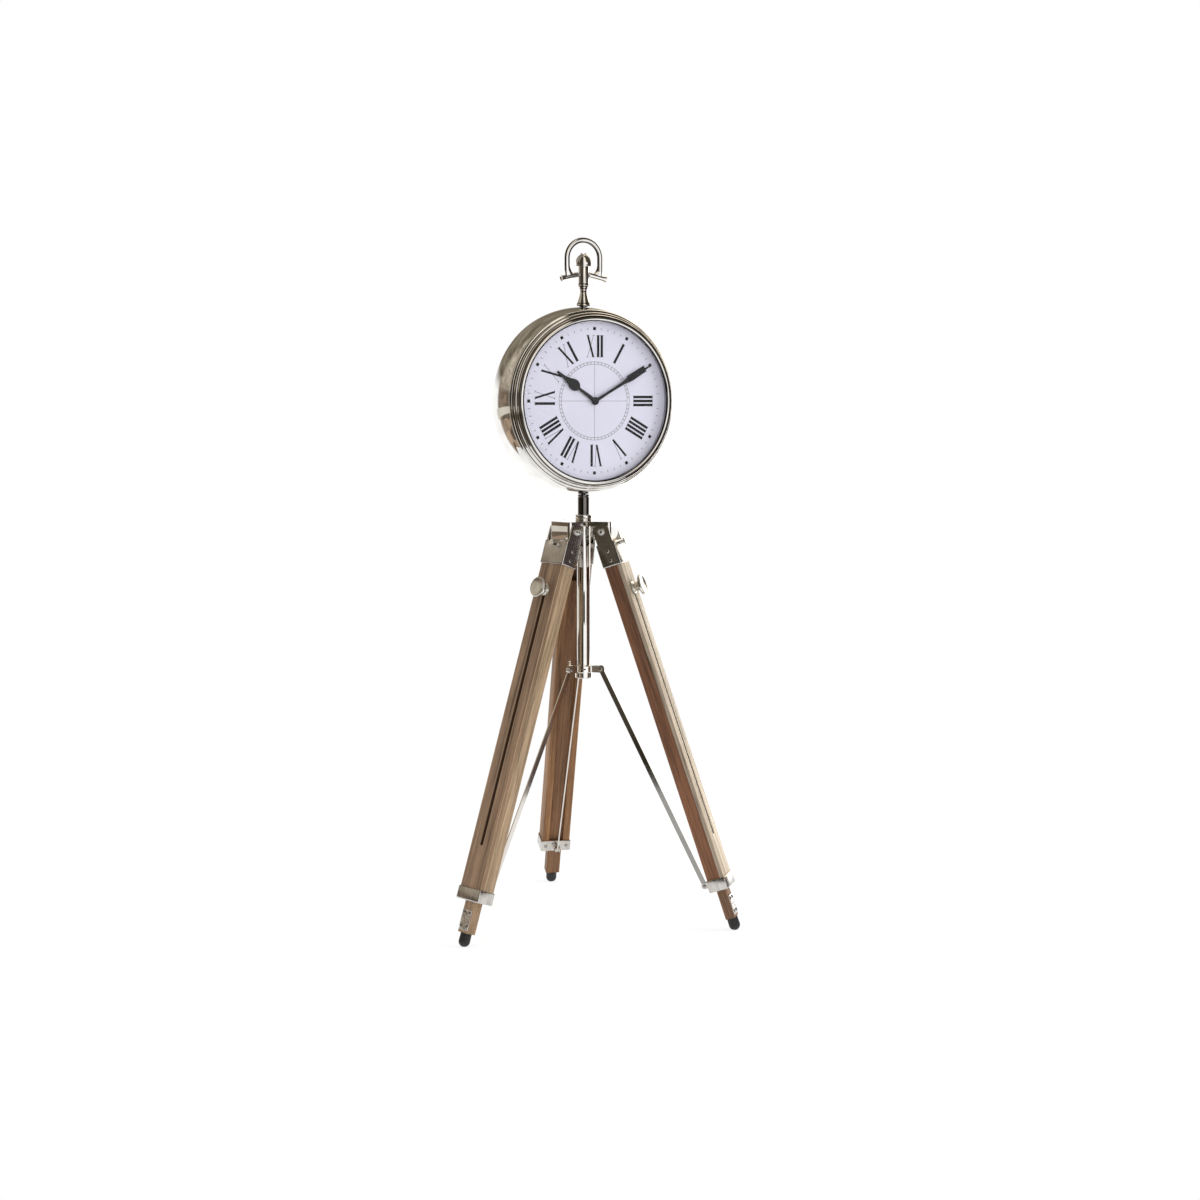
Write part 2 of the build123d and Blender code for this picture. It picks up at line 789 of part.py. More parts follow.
# Pole tube: fixed in the hub, it holds the stem and guides the sliding collar
tube_bottom = hub_top - tube_length
with BuildPart() as pole_tube:
    with BuildSketch(radial_plane(0).offset(tube_bottom)):
        Circle(tube_radius)
        Circle(stem_radius + pin_gap, mode=Mode.SUBTRACT)
    extrude(amount=tube_length)
save(pole_tube.part, "pole_tube")

# Hinge bolts and their sleeve nuts: the ears of each leg turn on the sleeve
sleeve_end = cap_width / 2 + running_gap

washer_end = sleeve_end + bolt_washer_height
head_end = washer_end + bolt_head_height
with BuildPart() as hinge_bolts:
    for turn in leg_bearings.values():
        side_plane = leg_side(turn)
        with BuildSketch(side_plane.offset(-sleeve_end)):
            Circle(bolt_radius)
        extrude(amount=bolt_grip)
        with BuildSketch(side_plane.offset(-washer_end)):
            Circle(bolt_washer_radius)
        extrude(amount=bolt_washer_height)
        with BuildSketch(side_plane.offset(-head_end)):
            Circle(bolt_head_radius)
        extrude(amount=bolt_head_height)
        with BuildSketch(side_plane.offset(-head_end)):
            RegularPolygon(socket_radius, 6)
        extrude(amount=socket_depth, mode=Mode.SUBTRACT)
save(hinge_bolts.part, "hinge_bolts")

with BuildPart() as hinge_sleeves:
    for turn in leg_bearings.values():
        side_plane = leg_side(turn)
        with BuildSketch(side_plane.offset(-sleeve_end)):
            Circle(sleeve_radius)
        extrude(amount=2 * sleeve_end)
        with BuildSketch(side_plane.offset(sleeve_end)):
            Circle(bolt_washer_radius)
        extrude(amount=bolt_washer_height)
        with BuildSketch(side_plane.offset(washer_end)):
            Circle(bolt_head_radius)
        extrude(amount=bolt_head_height)
        with BuildSketch(side_plane.offset(head_end)):
            RegularPolygon(socket_radius, 6)
        extrude(amount=-socket_depth, mode=Mode.SUBTRACT)
        with BuildSketch(side_plane.offset(-sleeve_end)):
            Circle(bolt_radius + seat_gap)
        extrude(amount=bolt_grip + seat_gap, mode=Mode.SUBTRACT)
save(hinge_sleeves.part, "hinge_sleeves")

# Stay collar: slides on the pole, with a boss below and a fork for each stay
with BuildPart() as stay_collar:
    with BuildSketch(radial_plane(0).offset(stay_collar_bottom)):
        Circle(stay_collar_radius)
    extrude(amount=stay_collar_height)
    with BuildSketch(radial_plane(0).offset(stay_collar_bottom - boss_height)):
        Circle(boss_radius)
    extrude(amount=boss_height)
    for turn in leg_bearings.values():
        with BuildSketch(radial_section(turn).offset(-fork_gap / 2 - cheek)):
            with Locations((fork_radius / 2, stay_collar_middle)):
                Rectangle(fork_radius, stay_collar_height)
            with Locations((fork_radius, stay_collar_middle)):
                Circle(stay_collar_height / 2)
        extrude(amount=2 * cheek + fork_gap)
        with BuildSketch(radial_plane(turn).offset(stay_collar_bottom - overrun)):
            with Locations((stay_collar_radius + running_gap, 0)):
                Rectangle(hub_reach, fork_gap, align=(Align.MIN, Align.CENTER))
        extrude(amount=stay_collar_height + 2 * overrun, mode=Mode.SUBTRACT)
        with BuildSketch(radial_section(turn)):
            with Locations((fork_radius, stay_collar_middle)):
                Circle(rivet_radius + seat_gap)
        extrude(amount=fork_gap + cheek, both=True, mode=Mode.SUBTRACT)
    with BuildSketch(radial_plane(0).offset(stay_collar_bottom - boss_height - overrun)):
        Circle(tube_radius + pin_gap)
    extrude(amount=boss_height + stay_collar_height + 2 * overrun, mode=Mode.SUBTRACT)
    wing_seat = Plane(
        origin=(pole_x, pole_y, stay_collar_middle), z_dir=radial_plane(stay_screw_bearing).x_dir
    )
    with BuildSketch(wing_seat):
        Circle(wing_shank_radius + pin_gap)
    extrude(amount=stay_collar_radius + overrun, mode=Mode.SUBTRACT)
save(stay_collar.part, "stay_collar")

# Pins of the three forks
with BuildPart() as stay_pins:
    pin_seat = fork_gap / 2 + cheek
    for turn in leg_bearings.values():
        with BuildSketch(radial_section(turn)):
            with Locations((fork_radius, stay_collar_middle)):
                Circle(rivet_radius)
        extrude(amount=pin_seat, both=True)
        for side in (-1, 1):
            with BuildSketch(radial_section(turn).offset(side * pin_seat)):
                with Locations((fork_radius, stay_collar_middle)):
                    Circle(rivet_head_radius)
            extrude(amount=side * rivet_head_height)
save(stay_pins.part, "stay_pins")

# Wing screw: clamps the stay collar to the pole
with BuildPart() as wing_screw:
    with BuildSketch(wing_seat.offset(tube_radius + running_gap)):
        Circle(wing_shank_radius)
    extrude(amount=wing_start - tube_radius - running_gap)
    with BuildSketch(Plane(origin=wing_seat.origin, x_dir=(0, 0, 1), z_dir=wing_seat.z_dir).offset(wing_start)):
        SlotOverall(wing_span, wing_width)
    extrude(amount=wing_thickness)
save(wing_screw.part, "wing_screw")

# Pivots of a stay, seen from the side of its leg: on the shoe's lug and in the stay collar's fork
lower_pivot = (shoe_middle, -lug_offset)
inward = fork_radius - hinge_radius
upper_pivot = (
    inward * lean_sine + stay_collar_drop * lean_cosine,
    inward * lean_cosine - stay_collar_drop * lean_sine,
)
stay_reach = hypot(upper_pivot[0] - lower_pivot[0], upper_pivot[1] - lower_pivot[1])
cap_screw_shares = (0.35, 0.75)
cap_screw_places = [cap_reach + share * cap_length for share in cap_screw_shares]
shoe_screw_offset = (channel_width / 2 + wood_width / 2) / 2
plate_end = slide_end - plate_rise
plate_screw_places = [
    (plate_end - plate_length / 2 + along * plate_length, across * plate_width)
    for along in (-plate_screw_along_share, plate_screw_along_share)
    for across in (-plate_screw_across_share, plate_screw_across_share)
]

for name, turn in leg_bearings.items():
    face = leg_face(turn)
    side_plane = leg_side(turn)
    section = leg_section(turn)

    # Outer leg: channel behind, seam of the glued plank on both sides, slot for the clamp knob
    with BuildPart() as outer_leg:
        with BuildSketch(section.offset(wood_start)):
            Rectangle(wood_width, wood_depth)
            with Locations((0, plank_back)):
                Rectangle(
                    channel_width, wood_depth, align=(Align.CENTER, Align.MAX), mode=Mode.SUBTRACT
                )
            with Locations((-wood_width / 2, plank_back), (wood_width / 2, plank_back)):
                Rectangle(2 * seam_depth, seam_width, mode=Mode.SUBTRACT)
        extrude(amount=wood_length)
        with BuildSketch(face.offset(plank_back - overrun)):
            with Locations((knob_place + slot_travel / 2, 0)):
                SlotCenterToCenter(slot_travel, slot_width)
        extrude(amount=plank_thickness + 2 * overrun, mode=Mode.SUBTRACT)
        for side in (-1, 1):
            with BuildSketch(side_plane.offset(side * wood_width / 2)):
                with Locations(*[(place, 0) for place in cap_screw_places]):
                    Circle(screw_shank_radius + seat_gap)
            extrude(amount=-side * (screw_length - sheet), mode=Mode.SUBTRACT)
        with BuildSketch(face.offset(-wood_face)):
            with Locations((shoe_middle, -shoe_screw_offset), (shoe_middle, shoe_screw_offset)):
                Circle(screw_shank_radius + seat_gap)
        extrude(amount=screw_length - sheet, mode=Mode.SUBTRACT)
        with BuildSketch(face.offset(wood_face)):
            with Locations((cap_reach + thumb_drop, 0)):
                Circle(thumb_shank_radius + pin_gap)
        extrude(amount=-thumb_shank_length, mode=Mode.SUBTRACT)
    save(outer_leg.part, f"outer_leg_{name}")

    # Top cap: a folded box with an ear on each side of the hub's lug
    with BuildPart() as top_cap:
        with BuildSketch(section.offset(cap_reach)):
            Rectangle(cap_width, cap_depth)
        extrude(amount=cap_length)
        with BuildSketch(side_plane.offset(-cap_width / 2)):
            with Locations((-ear_rise, 0)):
                Rectangle(ear_rise + cap_reach + sheet, ear_width, align=(Align.MIN, Align.CENTER))
            fillet(vertices().group_by(Axis.X)[0], ear_corner)
        extrude(amount=cap_width)
        with BuildSketch(section.offset(cap_reach)):
            Rectangle(2 * ear_inside, cap_depth + overrun)
        extrude(amount=-(cap_reach + ear_rise + overrun), mode=Mode.SUBTRACT)
        with BuildSketch(section.offset(wood_start)):
            Rectangle(wood_width + 2 * seat_gap, wood_depth + 2 * seat_gap)
        extrude(amount=cap_length, mode=Mode.SUBTRACT)
        with BuildSketch(side_plane):
            Circle(sleeve_radius + pin_gap)
            with Locations(*[(place, 0) for place in cap_screw_places]):
                Circle(screw_shank_radius + seat_gap)
        extrude(amount=cap_width, both=True, mode=Mode.SUBTRACT)
        with BuildSketch(face):
            with Locations((cap_reach + thumb_drop, 0)):
                Circle(thumb_shank_radius + pin_gap)
        extrude(amount=cap_depth, mode=Mode.SUBTRACT)
    save(top_cap.part, f"top_cap_{name}")

    # Shoe: a sheet box round the leg's lower end, open for the inner leg, with a stay lug inside
    with BuildPart() as shoe:
        with BuildSketch(section.offset(shoe_start)):
            Rectangle(cap_width, cap_depth)
        extrude(amount=shoe_length)
        with BuildSketch(side_plane):
            with Locations((lower_pivot[0], -cap_depth / 2 + sheet / 2)):
                Rectangle(2 * lug_radius, lug_offset - cap_depth / 2 + sheet / 2, align=(Align.CENTER, Align.MAX))
            with Locations(lower_pivot):
                Circle(lug_radius)
        extrude(amount=fork_gap / 2 + cheek, both=True)
        with BuildSketch(side_plane):
            with Locations((lower_pivot[0], -cap_depth / 2 - running_gap)):
                Rectangle(
                    shoe_length + 2 * overrun, lug_offset + overrun, align=(Align.CENTER, Align.MAX)
                )
        extrude(amount=fork_gap / 2, both=True, mode=Mode.SUBTRACT)
        with BuildSketch(section.offset(shoe_start - overrun)):
            Rectangle(wood_width + 2 * seat_gap, wood_depth + 2 * seat_gap)
        extrude(amount=wood_end - shoe_start + overrun, mode=Mode.SUBTRACT)
        with BuildSketch(section.offset(wood_end - overrun)):
            with Locations((0, slide_middle)):
                Rectangle(slide_width + 2 * running_gap, slide_depth + 2 * running_gap)
        extrude(amount=sheet + 2 * overrun, mode=Mode.SUBTRACT)
        with BuildSketch(side_plane):
            with Locations(lower_pivot):
                Circle(rivet_radius + seat_gap)
        extrude(amount=fork_gap + cheek, both=True, mode=Mode.SUBTRACT)
        with BuildSketch(face.offset(-cap_depth / 2 - overrun)):
            with Locations((shoe_middle, -shoe_screw_offset), (shoe_middle, shoe_screw_offset)):
                Circle(screw_shank_radius + seat_gap)
        extrude(amount=sheet + seat_gap + overrun, mode=Mode.SUBTRACT)
    save(shoe.part, f"shoe_{name}")

    # Fasteners of the leg: two screws in each cheek of the cap, two in the shoe, and the lug's rivet
    with BuildPart() as leg_screws:
        for side in (-1, 1):
            with BuildSketch(side_plane.offset(side * cap_width / 2)):
                with Locations(*[(place, 0) for place in cap_screw_places]):
                    Circle(screw_head_radius)
            extrude(amount=side * screw_head_height)
            with BuildSketch(side_plane.offset(side * cap_width / 2)):
                with Locations(*[(place, 0) for place in cap_screw_places]):
                    Circle(screw_shank_radius)
            extrude(amount=-side * (screw_length - seat_gap))
        with BuildSketch(face.offset(-cap_depth / 2)):
            with Locations((shoe_middle, -shoe_screw_offset), (shoe_middle, shoe_screw_offset)):
                Circle(screw_head_radius)
        extrude(amount=-screw_head_height)
        with BuildSketch(face.offset(-cap_depth / 2)):
            with Locations((shoe_middle, -shoe_screw_offset), (shoe_middle, shoe_screw_offset)):
                Circle(screw_shank_radius)
        extrude(amount=screw_length - seat_gap)
        with BuildSketch(side_plane):
            with Locations(lower_pivot):
                Circle(rivet_radius)
        extrude(amount=pin_seat, both=True)
        for side in (-1, 1):
            with BuildSketch(side_plane.offset(side * pin_seat)):
                with Locations(lower_pivot):
                    Circle(rivet_head_radius)
            extrude(amount=side * rivet_head_height)
    save(leg_screws.part, f"leg_screws_{name}")

    # Inner leg: slides in the channel, with a round tenon for the foot and a hole for the knob's shank
    with BuildPart() as inner_leg:
        with BuildSketch(section.offset(slide_start)):
            with Locations((0, slide_middle)):
                Rectangle(slide_width, slide_depth)
        extrude(amount=slide_end - slide_start)
        with BuildSketch(section.offset(slide_end)):
            with Locations((0, slide_middle)):
                Circle(tenon_radius)
        extrude(amount=tenon_length)
        with BuildSketch(face.offset(slide_face)):
            with Locations((knob_place, 0)):
                Circle(knob_shank_radius + pin_gap)
        extrude(amount=-(knob_grip + running_gap), mode=Mode.SUBTRACT)
        with BuildSketch(face.offset(slide_face)):
            with Locations(*plate_screw_places):
                Circle(screw_shank_radius + seat_gap)
        extrude(amount=-screw_length, mode=Mode.SUBTRACT)
    save(inner_leg.part, f"inner_leg_{name}")

    # Foot: a rubber bullet pushed over the tenon, worn flat where it stands
    with BuildPart() as foot:
        with BuildSketch(side_plane):
            with BuildLine():
                Polyline(
                    (tip_end, slide_middle),
                    (slide_end, slide_middle),
                    (slide_end, slide_middle + tip_radius),
                    (ball_place, slide_middle + tip_radius),
                )
                ThreePointArc(
                    (ball_place, slide_middle + tip_radius),
                    (ball_place + tip_radius * sin(pi / 4), slide_middle + tip_radius * sin(pi / 4)),
                    (tip_end, slide_middle),
                )
            make_face()
        revolve(axis=Axis(side_plane.from_local_coords((0, slide_middle, 0)), side_plane.x_dir))
        with BuildSketch(section.offset(slide_end)):
            with Locations((0, slide_middle)):
                Circle(tenon_radius + seat_gap)
        extrude(amount=tenon_length + seat_gap, mode=Mode.SUBTRACT)
        split(bisect_by=Plane.XY, keep=Keep.TOP)
    save(foot.part, f"foot_{name}")

    # Plate on the outer face of the inner leg, above the foot
    with BuildPart() as foot_plate:
        with BuildSketch(face.offset(slide_face)):
            with Locations((plate_end - plate_length / 2, 0)):
                Rectangle(plate_length, plate_width)
            with Locations(*plate_screw_places):
                Circle(screw_shank_radius + seat_gap, mode=Mode.SUBTRACT)
        extrude(amount=plate_thickness)
    save(foot_plate.part, f"foot_plate_{name}")

    with BuildPart() as foot_screws:
        with BuildSketch(face.offset(slide_face + plate_thickness)):
            with Locations(*plate_screw_places):
                Circle(screw_head_radius)
        extrude(amount=screw_head_height)
        with BuildSketch(face.offset(slide_face + plate_thickness)):
            with Locations(*plate_screw_places):
                Circle(screw_shank_radius)
        extrude(amount=-screw_length)
    save(foot_screws.part, f"foot_screws_{name}")

    # Clamp knob: a dished, flared disc on a neck and washer, its shank runs through the slot
    with BuildPart() as clamp_knob:
        washer_seat = wood_face + running_gap
        neck_seat = washer_seat + knob_washer_thickness
        disc_seat = neck_seat + knob_neck_length
        disc_back = disc_seat + knob_flare
        disc_face = disc_back + knob_thickness
        knob_line = side_plane.from_local_coords((knob_place, 0, 0))
        with BuildSketch(Plane(origin=knob_line, x_dir=side_plane.x_dir, z_dir=side_plane.z_dir)):
            with BuildLine():
                Polyline(
                    (0, disc_face - knob_dish),
                    (0, slide_face - knob_grip),
                    (knob_shank_radius, slide_face - knob_grip),
                    (knob_shank_radius, washer_seat),
                    (knob_washer_radius, washer_seat),
                    (knob_washer_radius, neck_seat),
                    (knob_neck_radius, neck_seat),
                    (knob_neck_radius, disc_seat),
                    (knob_radius - knob_rim, disc_back),
                    (knob_radius, disc_back + knob_rim),
                    (knob_radius, disc_face - knob_rim),
                    (knob_radius - knob_rim, disc_face),
                    (0, disc_face - knob_dish),
                )
            make_face()
        revolve(axis=Axis(knob_line, face.z_dir))
    save(clamp_knob.part, f"clamp_knob_{name}")

    # Thumb screw in the outer face of the cap
    with BuildPart() as thumb_screw:
        with BuildSketch(face.offset(cap_depth / 2 + seat_gap)):
            with Locations((cap_reach + thumb_drop, 0)):
                Circle(thumb_stem_radius)
        extrude(amount=thumb_stem_length)
        with BuildSketch(face.offset(cap_depth / 2 + seat_gap + thumb_stem_length)):
            with Locations((cap_reach + thumb_drop, 0)):
                Circle(thumb_head_radius)
        extrude(amount=thumb_head_thickness)
        with BuildSketch(face.offset(cap_depth / 2 + seat_gap)):
            with Locations((cap_reach + thumb_drop, 0)):
                Circle(thumb_shank_radius)
        extrude(amount=-thumb_shank_length)
    save(thumb_screw.part, f"thumb_screw_{name}")

    # Stay: a flat bar with an eye at each end; the upper eye has play on its pin
    with BuildPart() as stay:
        lower_point = side_plane.from_local_coords((lower_pivot[0], lower_pivot[1], 0))
        upper_point = side_plane.from_local_coords((upper_pivot[0], upper_pivot[1], 0))
        stay_line = Plane(origin=lower_point, x_dir=upper_point - lower_point, z_dir=side_plane.z_dir)
        with BuildSketch(stay_line):
            Rectangle(stay_reach, stay_width, align=(Align.MIN, Align.CENTER))
            Circle(stay_width / 2)
            with Locations((stay_reach, 0)):
                Circle(stay_eye_radius)
                Circle(rivet_radius + stay_play, mode=Mode.SUBTRACT)
            Circle(rivet_radius + pin_gap, mode=Mode.SUBTRACT)
        extrude(amount=stay_thickness / 2, both=True)
    save(stay.part, f"stay_{name}")
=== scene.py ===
"""Looks of the table clock on its folding tripod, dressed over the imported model."""
from math import atan2, cos, hypot, pi, radians, sin, tau

import bmesh
import bpy
from mathutils import Matrix, Vector


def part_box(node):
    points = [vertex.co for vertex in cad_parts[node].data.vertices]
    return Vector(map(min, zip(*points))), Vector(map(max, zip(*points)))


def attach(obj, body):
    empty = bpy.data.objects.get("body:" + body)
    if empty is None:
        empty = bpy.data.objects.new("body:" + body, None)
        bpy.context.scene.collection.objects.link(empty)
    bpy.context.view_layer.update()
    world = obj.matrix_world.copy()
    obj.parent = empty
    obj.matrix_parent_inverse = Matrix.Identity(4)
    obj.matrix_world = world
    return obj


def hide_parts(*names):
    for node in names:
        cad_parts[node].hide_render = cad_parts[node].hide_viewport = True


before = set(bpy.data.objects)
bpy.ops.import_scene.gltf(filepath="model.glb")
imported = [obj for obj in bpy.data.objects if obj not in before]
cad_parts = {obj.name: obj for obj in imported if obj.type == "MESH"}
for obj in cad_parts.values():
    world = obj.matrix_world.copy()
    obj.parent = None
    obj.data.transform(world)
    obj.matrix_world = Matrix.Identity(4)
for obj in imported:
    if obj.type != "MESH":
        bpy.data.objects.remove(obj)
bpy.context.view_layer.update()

# The photograph's view: the clock stands on a white table, seen from its left at the height of the dial.
# A long lens looks slightly down on it, and the object stands a little left of the picture's middle.
mm = 0.001
collar_low, collar_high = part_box("hub_collar")
case_low, case_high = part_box("case")
pole = Vector(((collar_low.x + collar_high.x) / 2, (collar_low.y + collar_high.y) / 2, 0))
clock_height = (case_low.z + case_high.z) / 2
view_bearing, view_fall, view_distance = radians(25.4), radians(5.763), 2.8
look = Vector((sin(view_bearing), cos(view_bearing), 0))
camera = bpy.data.objects.new("camera", bpy.data.cameras.new("camera"))
camera.data.lens = 59.15
camera.data.sensor_width = 36
camera.data.shift_x = 0.01375
camera.location = pole - look * view_distance + Vector((0, 0, clock_height))
sight = look * cos(view_fall) - Vector((0, 0, sin(view_fall)))
camera.rotation_euler = sight.to_track_quat("-Z", "Y").to_euler()
bpy.context.scene.collection.objects.link(camera)
bpy.context.scene.camera = camera
bpy.context.scene.view_settings.view_transform = "Standard"


# Table top and studio: a white table that keeps a faint shadow, with a soft panel on each side of the object.
# The room behind the photographer is dark, with a window on its right. Polished metal mirrors it between
# the white table and a brown ceiling with a few lamps.
def wiring(tree):
    """A call that adds a node to the tree, sets or wires its inputs, and gives the node."""
    def add(kind, wires=None, **settings):
        node = tree.nodes.new(kind)
        for key, value in settings.items():
            setattr(node, key, value)
        for socket, value in (wires or {}).items():
            if isinstance(value, bpy.types.NodeSocket):
                tree.links.new(value, node.inputs[socket])
            else:
                node.inputs[socket].default_value = value
        return node
    return add


def new_finish(name):
    """A node material, and the call that adds nodes to it."""
    finish = bpy.data.materials.new(name)
    finish.use_nodes = True
    return finish, wiring(finish.node_tree)


def ramp(add, fac, stops):
    """A colour ramp over fac, from (place, colour) stops."""
    node = add("ShaderNodeValToRGB", {"Fac": fac})
    while len(node.color_ramp.elements) < len(stops):
        node.color_ramp.elements.new(1)
    for element, (place, colour) in zip(node.color_ramp.elements, stops):
        element.position = place
        element.color = (*colour, 1)
    return node.outputs["Color"]


def maths(add, operation, first, second=0.0):
    return add("ShaderNodeMath", {0: first, 1: second}, operation=operation).outputs[0]


def vectors(add, operation, first, second):
    return add("ShaderNodeVectorMath", {0: first, 1: second}, operation=operation).outputs[0]


def span(add, value, start, end, low=0.0, high=1.0):
    """The value's way from start to end, given as a way from low to high and held at both."""
    return add("ShaderNodeMapRange", {"Value": value, "From Min": start, "From Max": end, "To Min": low,
                                      "To Max": high}).outputs["Result"]


def noise(add, spot, scale, detail, roughness=0.5, output="Fac"):
    return add("ShaderNodeTexNoise", {"Vector": spot, "Scale": scale, "Detail": detail,
                                      "Roughness": roughness}).outputs[output]


def mixed(add, share, first, second, blend="MIX"):
    """Two colours mixed by a share; a plain colour is given as three values."""
    second = (*second, 1) if isinstance(second, tuple) else second
    return add("ShaderNodeMix", {"Factor": share, "A": first, "B": second}, data_type="RGBA",
               blend_type=blend).outputs["Result"]


def channel(add, colour, name):
    return add("ShaderNodeSeparateColor", {"Color": colour}).outputs[name]


def slab(x, y, wide, high):
    """The corners of a rectangle about its middle."""
    return [(x + across * wide / 2, y + up * high / 2) for across, up in ((-1, -1), (1, -1), (1, 1), (-1, 1))]


world = bpy.context.scene.world or bpy.data.worlds.new("studio")
bpy.context.scene.world = world
world.use_nodes = True
world.node_tree.nodes.clear()
add = wiring(world.node_tree)
rays = add("ShaderNodeLightPath").outputs
ray_way = add("ShaderNodeTexCoord").outputs["Generated"]
turned_way = add("ShaderNodeMapping", {"Vector": ray_way, "Rotation": (0, 0, view_bearing + pi / 2)})
turned_way = turned_way.outputs["Vector"]
bearing = add("ShaderNodeTexGradient", {"Vector": turned_way}, gradient_type="RADIAL").outputs["Fac"]
height = add("ShaderNodeSeparateXYZ", {"Vector": ray_way}).outputs["Z"]
white, cream, window = (1.12, 1.12, 1.12), (0.7, 0.66, 0.58), (3.4, 3.3, 3.1)
brown, grey_brown, dim_brown = (0.13, 0.1, 0.075), (0.27, 0.22, 0.18), (0.16, 0.14, 0.11)
olive, plum = (0.045, 0.042, 0.03), (0.06, 0.05, 0.052)
high_room = ramp(add, bearing, [
    (0, white), (0.145, white), (0.16, grey_brown), (0.25, brown), (0.36, olive), (0.49, olive),
    (0.515, white), (0.655, white), (0.67, plum), (0.88, plum), (0.893, window), (0.935, window),
    (0.955, white), (1, white)])
low_room = ramp(add, bearing, [
    (0, white), (0.13, white), (0.145, cream), (0.26, cream), (0.27, brown), (0.42, dim_brown), (0.53, olive),
    (0.565, olive), (0.58, white), (0.64, white), (0.655, plum), (0.87, plum), (0.885, white), (1, white)])
above_band, above_table = span(add, height, -0.078, -0.07), span(add, height, -0.175, -0.165)
around = mixed(add, maths(add, "SUBTRACT", above_table, above_band), high_room, low_room)
things = add("ShaderNodeTexVoronoi", {"Vector": vectors(add, "MULTIPLY", ray_way, (4, 4, 7)), "Scale": 1.3},
             distance="CHEBYCHEV").outputs["Color"]
patches = [(0, (0.6, 0.58, 0.55)), (0.6, (1.1, 1.05, 1)), (1, (2.2, 2.0, 1.8))]
patches = ramp(add, channel(add, things, "Red"), patches)
patched = mixed(add, 1.0, around, patches, "MULTIPLY")
around = mixed(add, span(add, channel(add, around, "Green"), 0.2, 0.5, 1, 0), around, patched)
ribs = noise(add, vectors(add, "MULTIPLY", ray_way, (2.5, 2.5, 9)), 1.6, 2)
ceiling = ramp(add, ribs, [(0.3, (0.18, 0.155, 0.125)), (0.5, (0.32, 0.28, 0.225)), (0.7, (0.45, 0.4, 0.32))])
plain, lit, dark, lamp_glow = (0.7, 0.68, 0.64), (1.6, 1.6, 1.6), (0.2, 0.2, 0.2), (3.2, 3.3, 3.6)
beams = ramp(add, bearing, [
    (0, plain), (0.15, plain), (0.18, lit), (0.31, lit), (0.34, dark), (0.49, dark), (0.51, lamp_glow),
    (0.6, lamp_glow), (0.62, dark), (0.84, dark), (0.87, (6, 6, 6)), (0.97, (4, 4, 4)), (1, plain)])
ceiling = mixed(add, 1.0, ceiling, beams, "MULTIPLY")
room = mixed(add, span(add, height, 0.1, 0.24), around, ceiling)
full_white, soft_strength = (1, 1, 1, 1), 0.62
soft_light = add("ShaderNodeBackground", {"Color": full_white, "Strength": soft_strength}).outputs[0]
mirror_room = add("ShaderNodeBackground", {"Color": room, "Strength": 1}).outputs[0]
backdrop = add("ShaderNodeBackground", {"Color": full_white, "Strength": 1}).outputs[0]
shown = add("ShaderNodeMixShader", {0: rays["Is Glossy Ray"], 1: soft_light, 2: mirror_room}).outputs[0]
seen = maths(add, "MAXIMUM", rays["Is Camera Ray"], rays["Is Transmission Ray"])
shown = add("ShaderNodeMixShader", {0: seen, 1: shown, 2: backdrop}).outputs[0]
add("ShaderNodeOutputWorld", {"Surface": shown})

table_side, table_drop = 1.5, 0.5 * mm
table_corners = [(x, y, -table_drop) for x, y in slab(0, 0, table_side, table_side)]
table_mesh = bpy.data.meshes.new("table_top")
table_mesh.from_pydata(table_corners, [], [(0, 1, 2, 3)])
table_top = bpy.data.objects.new("table_top", table_mesh)
bpy.context.scene.collection.objects.link(table_top)
table_white, add = new_finish("table_white")
table_nodes = table_white.node_tree.nodes
table_nodes.remove(table_nodes["Principled BSDF"])
rays = add("ShaderNodeLightPath").outputs
seen = maths(add, "MAXIMUM", rays["Is Camera Ray"], rays["Is Glossy Ray"])
seen = maths(add, "MAXIMUM", seen, rays["Is Transmission Ray"])
shadow_catch = add("ShaderNodeBsdfDiffuse", {"Color": (0.3, 0.3, 0.3, 1)}).outputs[0]
glow = add("ShaderNodeEmission", {"Color": full_white, "Strength": 0.8}).outputs[0]
bright = add("ShaderNodeAddShader", {0: shadow_catch, 1: glow}).outputs[0]
bounce = add("ShaderNodeBsdfDiffuse", {"Color": (0.75, 0.75, 0.75, 1)}).outputs[0]
surface = add("ShaderNodeMixShader", {0: seen, 1: bounce, 2: bright}).outputs[0]
table_white.node_tree.links.new(surface, table_nodes["Material Output"].inputs["Surface"])
table_mesh.materials.append(table_white)

panel_height, panel_middle = 1.5, pole + Vector((0, 0, 0.5))
for panel_name, turn, distance, rise, width, power in (
        ("panel_right", 97, 1.9, 0.35, 1.2, 26), ("panel_left", -112, 2.2, 0.6, 1.8, 6)):
    lamp = bpy.data.lights.new(panel_name, "AREA")
    lamp.shape = "RECTANGLE"
    lamp.size = width
    lamp.size_y = panel_height
    lamp.energy = power
    panel = bpy.data.objects.new(panel_name, lamp)
    stand_off = radians(270 + turn) - view_bearing
    aside = Vector((cos(stand_off), sin(stand_off), 0)) * distance
    panel.location = panel_middle + aside + Vector((0, 0, rise))
    panel.rotation_euler = (panel_middle - panel.location).to_track_quat("-Z", "Y").to_euler()
    panel.visible_glossy = False
    bpy.context.scene.collection.objects.link(panel)


